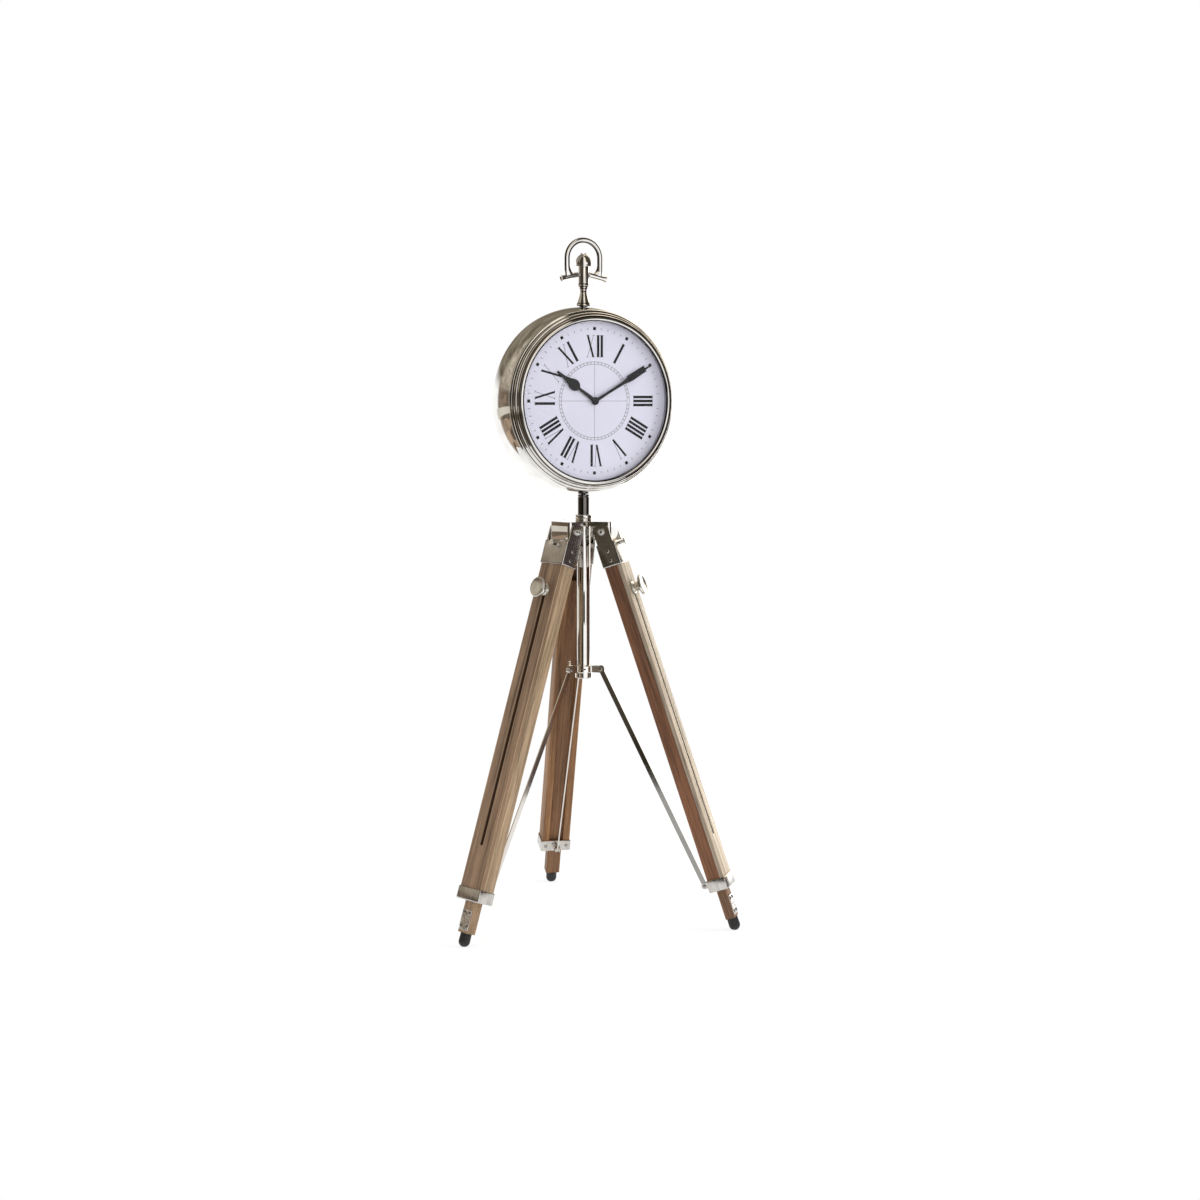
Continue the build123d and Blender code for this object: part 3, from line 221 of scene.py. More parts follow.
# Outer legs: two rails and a slotted plank of oiled hardwood, glued up with a fine seam on each side.
# The edges are broken by hand, and the grain runs down the leg.
hub_top = collar_low.z
hinge_height = hub_top - 14 * mm
hinge_reach, lean = 33 * mm, radians(19)
leg_bearings = {"a": 197.6, "b": 77.6, "c": 317.6}
outwards_of = {leg: Vector((cos(radians(turn)), sin(radians(turn)), 0)) for leg, turn in leg_bearings.items()}
down_leg = {}
for leg, outwards in outwards_of.items():
    down = outwards * sin(lean) - Vector((0, 0, cos(lean)))
    across = Vector((0, 0, 1)).cross(outwards)
    hinge = pole + outwards * hinge_reach + Vector((0, 0, hinge_height))
    directions = Matrix((down, across, down.cross(across))).transposed()
    down_leg[leg] = Matrix.Translation(hinge) @ directions.to_4x4()


def smoothed(shape, name, sharp=38):
    """The mesh of a worked shape, smooth but for its sharp edges."""
    for face in shape.faces:
        face.smooth = True
    for edge in shape.edges:
        edge.smooth = len(edge.link_faces) == 2 and edge.calc_face_angle(0) < radians(sharp)
    mesh = bpy.data.meshes.new(name)
    shape.to_mesh(mesh)
    shape.free()
    return mesh


def placed(name, mesh, finish, body, *stands_for, place=None):
    """A piece that rides on its body; with a leg's place it also keeps its coordinates along the leg."""
    if place is not None:
        home = place.inverted()
        along = mesh.attributes.new("along_leg", "FLOAT_VECTOR", "POINT")
        along.data.foreach_set("vector", [value for vertex in mesh.vertices for value in home @ vertex.co])
    if finish.name not in mesh.materials:
        mesh.materials.append(finish)
    piece = bpy.data.objects.new(name, mesh)
    bpy.context.scene.collection.objects.link(piece)
    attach(piece, body)
    if stands_for:
        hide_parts(*stands_for)


def finished(name, shape, *rides, place=None):
    """A piece from a worked shape, with its finish, its body and the nodes that it stands for."""
    placed(name, smoothed(shape, name), *rides, place=place)


def longer_than(length):
    """A test for edges longer than a length in mm."""
    return lambda first, last: (last - first).length > length


def worked(node, place, *cuts):
    """A copy of a CAD piece, joined up, with chosen outer edges rounded; a cut is (test, radius in mm)."""
    shape = bmesh.new()
    shape.from_mesh(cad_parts[node].data)
    bmesh.ops.remove_doubles(shape, verts=shape.verts, dist=1e-6)
    bmesh.ops.dissolve_limit(shape, angle_limit=radians(0.4), verts=shape.verts, edges=shape.edges)
    home = place.inverted()
    for test, radius in cuts:
        chosen = []
        for edge in shape.edges:
            if len(edge.link_faces) != 2 or not edge.is_convex or edge.calc_face_angle(0) < radians(50):
                continue
            first, last = (home @ vertex.co / mm for vertex in edge.verts)
            if test(first, last):
                chosen.append(edge)
        bmesh.ops.bevel(shape, geom=chosen, offset=radius * mm, segments=3 if radius > 1 else 2, profile=0.5,
                        affect="EDGES", clamp_overlap=True)
    return shape


def tinted(colour, factor):
    """The colour made paler or darker, up to full white."""
    return tuple(min(1, factor * value) for value in colour)


def surfaced(finish, add, colour, rough, relief=None, levels=None):
    """Wires colour, roughness and a relief of (height, strength, depth) to a finish, and sets its levels."""
    shader = finish.node_tree.nodes["Principled BSDF"]
    finish.node_tree.links.new(colour, shader.inputs["Base Color"])
    finish.node_tree.links.new(rough, shader.inputs["Roughness"])
    if relief:
        height, strength, depth = relief
        bump = add("ShaderNodeBump", {"Height": height, "Strength": strength, "Distance": depth})
        finish.node_tree.links.new(bump.outputs["Normal"], shader.inputs["Normal"])
    for socket, value in (levels or {}).items():
        shader.inputs[socket].default_value = value
    return finish


def plank_colour(add, colour, spots, streaks, tint, plank, top_shade):
    """The plank's tint, which also paints how the lamps light the outer face; paler streaks at the slot's
    mouth; painted shade on the slot's walls and towards the hub.
    """
    plank_floor, slot_half = 6.9 * mm, 3.4 * mm
    outside = maths(add, "GREATER_THAN", spots["Z"], plank_floor)
    # Painted light: the outer face takes the plank's tint, which stands for how the lamps light that face.
    shade = tuple(there / here for here, there in zip(tint, plank))
    colour = mixed(add, outside, colour, vectors(add, "MULTIPLY", colour, shade))
    aside = maths(add, "ABSOLUTE", spots["Y"])
    mouth = maths(add, "MULTIPLY", span(add, aside, slot_half, 5 * mm, 1, 0), streaks(30, 200))
    colour = mixed(add, maths(add, "MULTIPLY", mouth, outside), colour, tinted(plank, 1.5))
    # Painted shade: the slot's walls, below the face, are darkened to a third of the plank's tint.
    sunk = span(add, spots["Z"], 11 * mm, 12.1 * mm, 1, 0)
    slot_wall_shade = maths(add, "MULTIPLY", maths(add, "LESS_THAN", aside, slot_half + 0.2 * mm), sunk)
    colour = mixed(add, maths(add, "MULTIPLY", slot_wall_shade, outside), colour, tinted(plank, 0.3))
    # Painted shade: the plank darkens towards the hub to top_shade of its colour and brightens a little
    # towards the foot.
    hub_painted_shade = span(add, spots["X"], 70 * mm, 420 * mm, top_shade, 1.1)
    return add("ShaderNodeVectorMath", {0: colour, "Scale": hub_painted_shade}, operation="SCALE").outputs[0]


def wood_finish(name, tint, depth, width, seed, plank=None, top_shade=1.0):
    """Oiled hardwood: long figure, fine pores, a few knots, worn corners, and a plank whose own tint also
    paints how the lamps light the outer face.
    """
    finish, add = new_finish(name)
    spot = add("ShaderNodeAttribute", attribute_name="along_leg").outputs["Vector"]
    spots = add("ShaderNodeSeparateXYZ", {"Vector": spot}).outputs
    shifted = vectors(add, "ADD", spot, (0.37 * seed, 0.11 * seed, 0.07 * seed))
    sway = noise(add, vectors(add, "MULTIPLY", shifted, (9, 30, 30)), 1, 2, output="Color")
    sway = vectors(add, "SUBTRACT", sway, (0.5, 0.5, 0.5))
    grained = vectors(add, "ADD", shifted, vectors(add, "MULTIPLY", sway, (0.02, 0.006, 0.006)))

    def streaks(lengthwise, sideways, detail=3):
        scaled = vectors(add, "MULTIPLY", grained, (lengthwise, sideways, sideways))
        return noise(add, scaled, 1, detail, 0.62)

    figure, lines, pores = streaks(5, 95), streaks(9, 420), streaks(60, 1900, 2)
    colour = ramp(add, figure, [(0.28, tinted(tint, 0.24)), (0.42, tinted(tint, 0.82)), (0.55, tint),
                                (0.72, tinted(tint, 1.32))])
    line_shade = ramp(add, lines, [(0.3, (0.55, 0.5, 0.46)), (0.5, (1, 1, 1)), (0.7, (1.18, 1.16, 1.12))])
    colour = mixed(add, 0.95, colour, line_shade, "MULTIPLY")
    pore_shade = ramp(add, pores, [(0.34, (0.5, 0.45, 0.42)), (0.46, (1, 1, 1))])
    colour = mixed(add, 0.55, colour, pore_shade, "MULTIPLY")
    knot_grid = vectors(add, "MULTIPLY", grained, (7.5, 30, 22))
    knots = add("ShaderNodeTexVoronoi", {"Vector": knot_grid, "Scale": 1, "Randomness": 1}).outputs
    rare = maths(add, "GREATER_THAN", channel(add, knots["Color"], "Red"), 0.8)
    core = maths(add, "MULTIPLY", span(add, knots["Distance"], 0.03, 0.11, 1, 0), rare)
    colour = mixed(add, core, colour, tinted(tint, 0.16))
    near = [span(add, maths(add, "ABSOLUTE", spots[axis]), (half - 1.3) * mm, (half - 0.2) * mm)
            for axis, half in (("Y", width / 2), ("Z", depth / 2))]
    if plank:
        colour = plank_colour(add, colour, spots, streaks, tint, plank, top_shade)
    worn = maths(add, "MULTIPLY", maths(add, "MULTIPLY", *near), streaks(40, 260))
    colour = mixed(add, worn, colour, tinted(tint, 1.6))
    rough = span(add, lines, 0, 1, 0.42, 0.66)
    relief = (maths(add, "ADD", pores, lines), 0.35, 0.3 * mm)
    return surfaced(finish, add, colour, rough, relief, {"Specular IOR Level": 0.4})


outer_depth, outer_width, inner_depth, inner_width = 24.6, 42.4, 14.0, 21.2
outer_tints = {"a": (0.51, 0.365, 0.23), "b": (0.39, 0.2, 0.09), "c": (0.29, 0.13, 0.065)}
# Painted light: each plank's tint differs from its rails' to paint how the side lamps light the outer face,
# pale on leg c, which faces the key lamp, and darker on leg a, which is turned from it.
plank_lit_tints = {"a": (0.34, 0.215, 0.13), "b": (0.42, 0.25, 0.14), "c": (0.6, 0.51, 0.39)}
# Painted shade on each plank towards the hub, strongest on leg b.
painted_top_shades = {"a": 0.95, "b": 0.6, "c": 0.9}
for leg, place in down_leg.items():
    wood = wood_finish(f"leg_wood.{leg}", outer_tints[leg], outer_depth, outer_width, 3 + ord(leg) % 7,
                       plank_lit_tints[leg], painted_top_shades[leg])
    rails = worked(f"outer_leg_{leg}", place, (longer_than(6), 0.5))
    finished(f"outer_leg_wood_{leg}", rails, wood, f"leg_{leg}", f"outer_leg_{leg}", place=place)

# Inner legs: a single stick of the same hardwood slides in each outer leg and ends in a tenon for the foot.
# Its corners are chamfered at the foot, and its tint differs a little from the outer leg's.
inner_tints = {"a": (0.48, 0.32, 0.195), "b": (0.32, 0.17, 0.085), "c": (0.28, 0.155, 0.085)}
for leg, place in down_leg.items():
    wood = wood_finish(f"inner_wood.{leg}", inner_tints[leg], inner_depth, inner_width, 11 + ord(leg) % 5)
    stick = worked(f"inner_leg_{leg}", place, (longer_than(6), 0.6))
    finished(f"inner_leg_stick_{leg}", stick, wood, f"inner_leg_{leg}", f"inner_leg_{leg}", place=place)


# Top caps and shoes: each outer leg is closed by folded sheet, brushed along the leg and plated.
# The cap has two ears at the hub, and the shoe has a lug for the stay below. The folds keep a rounded
# corner that catches the light.
def brushed_finish(name, tint, low, high, relief):
    """Sheet metal brushed along the leg, with uneven plating and handling marks."""
    finish, add = new_finish(name)
    spot = add("ShaderNodeAttribute", attribute_name="along_leg").outputs["Vector"]
    fine, broad, stains = (noise(add, vectors(add, "MULTIPLY", spot, (lengthwise, sideways, sideways)), 1, 2)
                           for lengthwise, sideways in ((30, 3200), (14, 420), (70, 90)))
    colour = ramp(add, broad, [(0.3, tinted(tint, 0.87)), (0.6, tint), (0.75, tinted(tint, 1.08))])
    dull = ramp(add, stains, [(0.35, (0.82, 0.8, 0.78)), (0.55, (1, 1, 1))])
    colour = mixed(add, 0.8, colour, dull, "MULTIPLY")
    rough = span(add, maths(add, "MULTIPLY", fine, broad), 0.1, 0.45, low, high)
    return surfaced(finish, add, colour, rough, (fine, relief, 0.1 * mm), {"Metallic": 1})


def folded_corner(first, last):
    """A test for the long outer corners of a folded sheet."""
    outer = all(abs(end.y) > sheet_half - 0.35 and abs(end.z) > sheet_depth for end in (first, last))
    return outer and (last - first).length > 6


brushed_nickel = brushed_finish("brushed_nickel", (0.63, 0.605, 0.57), 0.16, 0.26, 0.12)
sheet_half, sheet_depth = 23.25, 14
sheet_cuts = (folded_corner, 1.8), (longer_than(6), 0.35)
for leg, place in down_leg.items():
    for name, node in ((f"cap_sheet_{leg}", f"top_cap_{leg}"), (f"shoe_sheet_{leg}", f"shoe_{leg}")):
        finished(name, worked(node, place, *sheet_cuts), brushed_nickel, f"leg_{leg}", node, place=place)


# Screws and rivets of the legs: small domed steel screws with a cross hold cap, shoe and foot plate.
# A rivet carries the stay. The screws are driven by hand, so no two crosses stand alike.
def turned(outline, place, rounds=64):
    """A lathe-turned shape from (along, radius) points in mm, about the z axis of its place."""
    shape = bmesh.new()
    rings = []
    for along, radius in outline:
        if radius < 1e-6:
            rings.append([shape.verts.new(place @ Vector((0, 0, along * mm)))])
        else:
            turns = [tau * step / rounds for step in range(rounds)]
            circle = [Vector((radius * cos(turn), radius * sin(turn), along)) for turn in turns]
            rings.append([shape.verts.new(place @ (point * mm)) for point in circle])
    open_ends = len(rings[0]) == 1 and len(rings[-1]) == 1
    pairs = list(zip(rings, rings[1:])) + ([] if open_ends else [(rings[-1], rings[0])])
    for near, far in pairs:
        for step in range(rounds):
            after = (step + 1) % rounds
            if len(near) == 1 and len(far) > 1:
                shape.faces.new((near[0], far[step], far[after]))
            elif len(far) == 1 and len(near) > 1:
                shape.faces.new((near[step], far[0], near[after]))
            elif len(near) > 1:
                shape.faces.new((near[step], far[step], far[after], near[after]))
    bmesh.ops.recalc_face_normals(shape, faces=shape.faces)
    return shape


def eased(outline, radius, steps=3):
    """The outline with each corner rounded by up to the radius; a closed outline is eased all round."""
    closed = not (outline[0][1] < 1e-6 and outline[-1][1] < 1e-6)
    points = [Vector(point) for point in outline]
    soft = []
    for place, corner in enumerate(points):
        if not closed and place in (0, len(points) - 1):
            soft.append(tuple(corner))
            continue
        before, after = points[place - 1] - corner, points[(place + 1) % len(points)] - corner
        bend = pi - before.angle(after)
        reach = min(radius, 0.4 * before.length, 0.4 * after.length)
        if bend < radians(25) or reach < 0.02:
            soft.append(tuple(corner))
            continue
        start, end = corner + before.normalized() * reach, corner + after.normalized() * reach
        for step in range(steps + 1):
            share = step / steps
            soft.append(tuple(start * (1 - share) ** 2 + corner * 2 * share * (1 - share) + end * share ** 2))
    return soft


def arc(start, middle, end, steps=8):
    """Points along the circle through three points."""
    (ax, ay), (bx, by), (cx, cy) = start, middle, end
    twice = 2 * (ax * (by - cy) + bx * (cy - ay) + cx * (ay - by))
    a_square, b_square, c_square = ax * ax + ay * ay, bx * bx + by * by, cx * cx + cy * cy
    ux = (a_square * (by - cy) + b_square * (cy - ay) + c_square * (ay - by)) / twice
    uy = (a_square * (cx - bx) + b_square * (ax - cx) + c_square * (bx - ax)) / twice
    radius = hypot(ax - ux, ay - uy)
    first, last = atan2(ay - uy, ax - ux), atan2(cy - uy, cx - ux)
    if (bx - ax) * (cy - ay) - (by - ay) * (cx - ax) > 0:
        last += tau if last < first else 0
    else:
        last -= tau if last > first else 0
    turns = [first + (last - first) * step / steps for step in range(steps + 1)]
    return [(ux + radius * cos(turn), uy + radius * sin(turn)) for turn in turns]


def metal_finish(name, tint, low, high, relief, grit=900, painted_shade=None):
    """Plated or plain metal: cloudy polish, fine marks, a slight change of colour, and painted shade if it
    has any.
    """
    finish, add = new_finish(name)
    spot = add("ShaderNodeTexCoord").outputs["Object"]
    cloud, marks = noise(add, spot, 45, 4), noise(add, spot, grit, 3)
    colour = ramp(add, cloud, [(0.3, tinted(tint, 0.86)), (0.6, tint), (0.8, tinted(tint, 1.06))])
    # Painted shade: an optional colour multiplied in, darkening grooves and edges.
    if painted_shade:
        colour = mixed(add, 1.0, colour, painted_shade(add, spot), "MULTIPLY")
    rough = span(add, maths(add, "MULTIPLY", cloud, marks), 0.12, 0.42, low, high)
    return surfaced(finish, add, colour, rough, (marks, relief, 0.1 * mm), {"Metallic": 1})


def cross_head(name, radius, height, shank_radius, shank):
    """One screw in mm, head up along z from the seat, with a cross on its dome."""
    dome = arc((0.25 * height, radius), (0.75 * height, 0.72 * radius), (height, 0.3 * radius), 5)
    under = [(-shank, 0), (-shank, shank_radius), (0, shank_radius), (0, radius)]
    shape = turned(under + dome + [(height, 0)], Matrix(), 24)
    for turn in (0, pi / 2):
        bar = bmesh.ops.create_cube(shape, size=1)["verts"]
        bmesh.ops.scale(shape, vec=Vector((1.24 * radius, 0.32 * radius, 0.06)) * mm, verts=bar)
        bmesh.ops.translate(shape, vec=(0, 0, (height + 0.01) * mm), verts=bar)
        bmesh.ops.rotate(shape, cent=(0, 0, 0), matrix=Matrix.Rotation(turn, 3, "Z"), verts=bar)
    return smoothed(shape, name)


def node_tree(name, inputs, output):
    """A new tree of geometry nodes with named inputs, its call for adding nodes, and both its ends."""
    tree = bpy.data.node_groups.new(name, "GeometryNodeTree")
    for socket, kind in inputs.items():
        tree.interface.new_socket(socket, in_out="INPUT", socket_type=f"NodeSocket{kind}")
    tree.interface.new_socket(output, in_out="OUTPUT", socket_type="NodeSocketGeometry")
    add = wiring(tree)
    return tree, add, add("NodeGroupInput").outputs


def end_tree(tree, add, instances, finish, output):
    """Realizes a tree's instances, sets their material and hands them to the tree's output."""
    whole = add("GeometryNodeRealizeInstances", {"Geometry": instances}).outputs["Geometry"]
    dressed = add("GeometryNodeSetMaterial", {"Geometry": whole, "Material": finish}).outputs["Geometry"]
    add("NodeGroupOutput", {output: dressed})
    return tree


def driven_heads():
    """Geometry nodes: one head on every point, along the point's facing, each turned by chance."""
    tree, add, given = node_tree("driven_heads", {"Seats": "Geometry", "Head": "Object", "Head size": "Float",
                                                  "Seed": "Int", "Finish": "Material"}, "Heads")
    way = add("GeometryNodeInputNamedAttribute", {"Name": "facing"}, data_type="FLOAT_VECTOR").outputs
    stand = add("FunctionNodeAlignRotationToVector", {"Vector": way["Attribute"]}, axis="Z").outputs[0]
    chance = add("FunctionNodeRandomValue", {"Max": tau, "Seed": given["Seed"]}, data_type="FLOAT")
    spin = add("FunctionNodeAxisAngleToRotation", {"Axis": (0, 0, 1), "Angle": chance.outputs["Value"]})
    turn = add("FunctionNodeRotateRotation", {"Rotation": stand, "Rotate By": spin.outputs["Rotation"]},
               rotation_space="LOCAL").outputs["Rotation"]
    head = add("GeometryNodeObjectInfo", {"Object": given["Head"]}).outputs["Geometry"]
    size = add("ShaderNodeCombineXYZ", {axis: given["Head size"] for axis in "XYZ"}).outputs[0]
    points = add("GeometryNodeMeshToPoints", {"Mesh": given["Seats"]}).outputs["Points"]
    heads = add("GeometryNodeInstanceOnPoints", {"Points": points, "Instance": head, "Rotation": turn,
                                                 "Scale": size})
    return end_tree(tree, add, heads.outputs["Instances"], given["Finish"], "Heads")


head_tree = driven_heads()


def grown(name, seats, tree, values):
    """The plain mesh that a tree makes on the seats, its inputs given by name."""
    carrier = bpy.data.objects.new(name, seats)
    bpy.context.scene.collection.objects.link(carrier)
    modifier = carrier.modifiers.new("made", "NODES")
    modifier.node_group = tree
    for socket in tree.interface.items_tree:
        if socket.in_out == "INPUT" and socket.name in values:
            modifier[socket.identifier] = values[socket.name]
    graph = bpy.context.evaluated_depsgraph_get()
    made = carrier.evaluated_get(graph)
    mesh = bpy.data.meshes.new_from_object(made, preserve_all_data_layers=True, depsgraph=graph)
    bpy.data.objects.remove(carrier)
    return mesh


def driven(name, body, node, head, seats, place, seed, finish):
    """Heads at seats, each a (point, facing) pair in the place's mm, as one piece."""
    points = bpy.data.meshes.new(name + "_seats")
    points.from_pydata([place @ (Vector(point) * mm) for point, way in seats], [], [])
    ways = [value for point, way in seats for value in place.to_3x3() @ Vector(way)]
    points.attributes.new("facing", "FLOAT_VECTOR", "POINT").data.foreach_set("vector", ways)
    carrier = bpy.data.objects.new(name + "_head", head)
    mesh = grown(name, points, head_tree, {"Head": carrier, "Head size": 1.0, "Seed": seed, "Finish": finish})
    bpy.data.objects.remove(carrier)
    placed(name, mesh, finish, body, node)


steel = metal_finish("steel", (0.4, 0.38, 0.36), 0.22, 0.42, 0.12)
head_sizes = (2.6, 1.1, 1.25)
leg_head = cross_head("leg_head", *head_sizes, 7)
cap_start, cap_length = 17, 34
shoe_line, shoe_foot, stay_lug = 523, -14.35, -24
plate_start, plate_length, plate_width, plate_face = 557.8, 28, 19, 7.8
for leg, place in down_leg.items():
    seats = [((cap_start + share * cap_length, side * sheet_half, 0), (0, side, 0))
             for share in (0.35, 0.75) for side in (-1, 1)]
    seats += [((shoe_line, side * 16.05, shoe_foot), (0, 0, -1)) for side in (-1, 1)]
    seats += [((shoe_line, side * 3.45, stay_lug), (0, side, 0)) for side in (-1, 1)]
    driven(f"leg_fastenings_{leg}", f"leg_{leg}", f"leg_screws_{leg}", leg_head, seats, place,
           4 + ord(leg), steel)
    seats = [((plate_start + along * plate_length, across * plate_width, plate_face), (0, 0, 1))
             for along in (-0.34, 0.34) for across in (-0.28, 0.28)]
    driven(f"plate_fastenings_{leg}", f"inner_leg_{leg}", f"foot_screws_{leg}", leg_head, seats, place,
           9 + ord(leg), steel)


# Foot plates: a small bright plate is screwed to the outer face of each inner leg.
# It is beaten slightly uneven before plating, and its polish breaks up what it mirrors.
def mottled_finish(name, grain, stops, low, high, relief=None, haze=None, levels=None):
    """A finish whose gloss and relief follow a grain of (scale, detail), and its colour that or a haze."""
    finish, add = new_finish(name)
    spot = add("ShaderNodeTexCoord").outputs["Object"]
    fine = noise(add, spot, *grain)
    broad = noise(add, spot, *haze) if haze else fine
    return surfaced(finish, add, ramp(add, broad, stops), span(add, fine, 0, 1, low, high),
                    relief and (fine, *relief), levels)


plate_stops = [(0.3, (0.55, 0.52, 0.49)), (0.6, (0.8, 0.78, 0.75))]
beaten_nickel = mottled_finish("polished_nickel.beaten", (260, 2), plate_stops, 0.05, 0.3, (0.7, 0.9 * mm),
                               levels={"Metallic": 1})
for leg, place in down_leg.items():
    plate = worked(f"foot_plate_{leg}", place, (longer_than(6), 0.35))
    finished(f"foot_plate_bright_{leg}", plate, beaten_nickel, f"inner_leg_{leg}", f"foot_plate_{leg}",
             place=place)


# Rubber feet: a moulded black rubber bullet is pushed over the tenon of each inner leg.
# It has a thin moulding ring at its rim and is worn flat where it stands on the table.
def facing(origin, z_way, x_way):
    """A place at an origin in metres, with its z and x directions."""
    z_way = z_way.normalized()
    x_way = (x_way - z_way * x_way.dot(z_way)).normalized()
    return Matrix.Translation(origin) @ Matrix((x_way, z_way.cross(x_way), z_way)).transposed().to_4x4()


rubber = mottled_finish("foot_rubber", (160, 5), [(0.35, (0.012, 0.011, 0.011)), (0.7, (0.03, 0.028, 0.027))],
                        0.42, 0.7, (0.25, 0.2 * mm))
rim, ball_place, foot_radius, foot_middle = 576, 587, 8, -0.4
bead = arc((rim + 0.2, foot_radius), (rim + 0.8, foot_radius), (rim + 1.4, 7.75), 3)
ball_turns = [step * pi / 24 for step in range(1, 12)]
outline = [(rim, 0), (rim, 7.6)] + bead + [(rim + 2.2, 7.8), (ball_place, foot_radius)]
outline += [(ball_place + foot_radius * sin(turn), foot_radius * cos(turn)) for turn in ball_turns]
outline += [(ball_place + foot_radius, 0)]
for leg, place in down_leg.items():
    foot_place = place @ facing(Vector((0, 0, foot_middle * mm)), Vector((1, 0, 0)), Vector((0, 1, 0)))
    foot = turned(eased(outline, 0.3), foot_place, 64)
    bmesh.ops.bisect_plane(foot, geom=foot.verts[:] + foot.edges[:] + foot.faces[:], plane_co=(0, 0, 0),
                           plane_no=(0, 0, 1), clear_inner=True)
    bmesh.ops.contextual_create(foot, geom=[edge for edge in foot.edges if edge.is_boundary])
    bmesh.ops.recalc_face_normals(foot, faces=foot.faces)
    finished(f"foot_bullet_{leg}", foot, rubber, f"inner_leg_{leg}", f"foot_{leg}")


# Clamp knobs: a turned and satin-plated disc flares from a grooved neck and a washer.
# Its shank runs through the slot, and its face is dished by a light cut on the lathe.
def lathed(name, outline, soft, place, rounds, *rides):
    """A turned piece from an outline in mm, its corners eased by a soft radius."""
    finished(name, turned(eased(outline, soft), place, rounds), *rides)


satin_nickel = metal_finish("satin_nickel", (0.84, 0.83, 0.78), 0.14, 0.24, 0.08, 1500)
knob_line, seat = 88.5, 12.6
neck = [(0, 3), (0, 9), (1.2, 9), (1.2, 7.2), (2.6, 7.2), (2.9, 5.9), (3.6, 5.9), (3.9, 6.5), (8.4, 6.5)]
disc = [(11.6, 13.5), (12.6, 14.5), (15.2, 14.5), (16.2, 13.5), (15.7, 12.5), (14.8, 0)]
outline = [(-2.4, 0), (-2.4, 3)] + [(seat + along, radius) for along, radius in neck + disc]
for leg, place in down_leg.items():
    knob_place = place @ facing(Vector((knob_line * mm, 0, 0)), Vector((0, 0, 1)), Vector((1, 0, 0)))
    lathed(f"clamp_knob_turned_{leg}", outline, 0.6, knob_place, 96, satin_nickel, f"clamp_knob_{leg}",
           f"clamp_knob_{leg}")

# Hub, collar and pole: the hub is a cast and polished three-armed plate with a box lug under each arm.
# A collar is turned on top of it, and the pole is a drawn tube fixed in it, polished like the clock's case.
polish = (0.02, 0.07, 0.01, 700)
polished_nickel = metal_finish("polished_nickel", (0.9, 0.885, 0.855), *polish)
stand_place = Matrix.Translation(pole)
finished("hub_cast", worked("hub", stand_place, (longer_than(4), 0.5)), polished_nickel, "stand", "hub")
top, bore, pole_radius = hub_top / mm, 8.23, 9.4
outline = [(0, bore), (0, 12), (2.2, 12), (2.8, 11.5), (3.4, 12), (7.3, 12), (8.5, 11.2), (8.5, bore)]
outline = [(top + along, radius) for along, radius in outline]
lathed("collar_turned", outline, 0.5, stand_place, 128, polished_nickel, "stand", "hub_collar")
pole_end = top - 226
outline = [(pole_end, bore), (pole_end, pole_radius), (top, pole_radius), (top, bore)]
lathed("pole_drawn", outline, 0.5, stand_place, 128, polished_nickel, "stand", "pole_tube")


# Hinge bolts: a socket-head bolt and its sleeve pass through each lug from its two sides.
# Both heads bear on a washer outside the ears. They are steel, nickel plated with the rest.
def join_in(shape, part):
    """Adds a part to a shape."""
    mesh = bpy.data.meshes.new("part")
    part.to_mesh(mesh)
    part.free()
    shape.from_mesh(mesh)


ear_face = 23.55
for node, side, inner, core in (("hinge_bolts", -1, 11.5, 1.95), ("hinge_sleeves", 1, -ear_face, 3)):
    bolts = bmesh.new()
    outline = [(inner, 0), (inner, core), (ear_face, core), (ear_face, 5.2), (ear_face + 0.9, 5.2),
               (ear_face + 0.9, 3.9), (ear_face + 3.75, 3.9), (ear_face + 4.5, 3.2), (ear_face + 4.5, 2.05),
               (ear_face + 2.75, 1.9), (ear_face + 2.55, 0)]
    for place in down_leg.values():
        bolt_place = place @ facing(Vector((0, 0, 0)), Vector((0, side, 0)), Vector((1, 0, 0)))
        join_in(bolts, turned(eased(outline, 0.35), bolt_place, 48))
    finished(node + "_turned", bolts, polished_nickel, "stand", node)

# Thumb screws: a small screw stands out of each cap's outer face and locks the cap on its wood.
# It is turned bright, with a rounded head.
thumb_line, thumb_face = 22, 14.4
outline = [(-9, 0), (-9, 1.6), (0, 1.6), (0, 2.7), (7, 2.7), (7, 4.4), (9.2, 4.4), (9.2, 0)]
for leg, place in down_leg.items():
    thumb_spot = Vector((thumb_line * mm, 0, thumb_face * mm))
    screw_place = place @ facing(thumb_spot, Vector((0, 0, 1)), Vector((1, 0, 0)))
    lathed(f"thumb_screw_turned_{leg}", outline, 0.7, screw_place, 48, polished_nickel, f"thumb_screw_{leg}",
           f"thumb_screw_{leg}")


# Stay collar: a collar with a wider boss slides on the pole, with three forks brazed to it for the stays.
# Rivets pin the stays in the forks and a wing screw locks the collar.
def plate_along(shape, outline, place, low, high):
    """Adds a plate: an outline in mm in the place's x and y, from low to high along its z."""
    base = [shape.verts.new(place @ (Vector((x, y, low)) * mm)) for x, y in outline]
    lid = [shape.verts.new(place @ (Vector((x, y, high)) * mm)) for x, y in outline]
    shape.faces.new(base[::-1])
    shape.faces.new(lid)
    for step in range(len(outline)):
        after = (step + 1) % len(outline)
        shape.faces.new((base[step], base[after], lid[after], lid[step]))


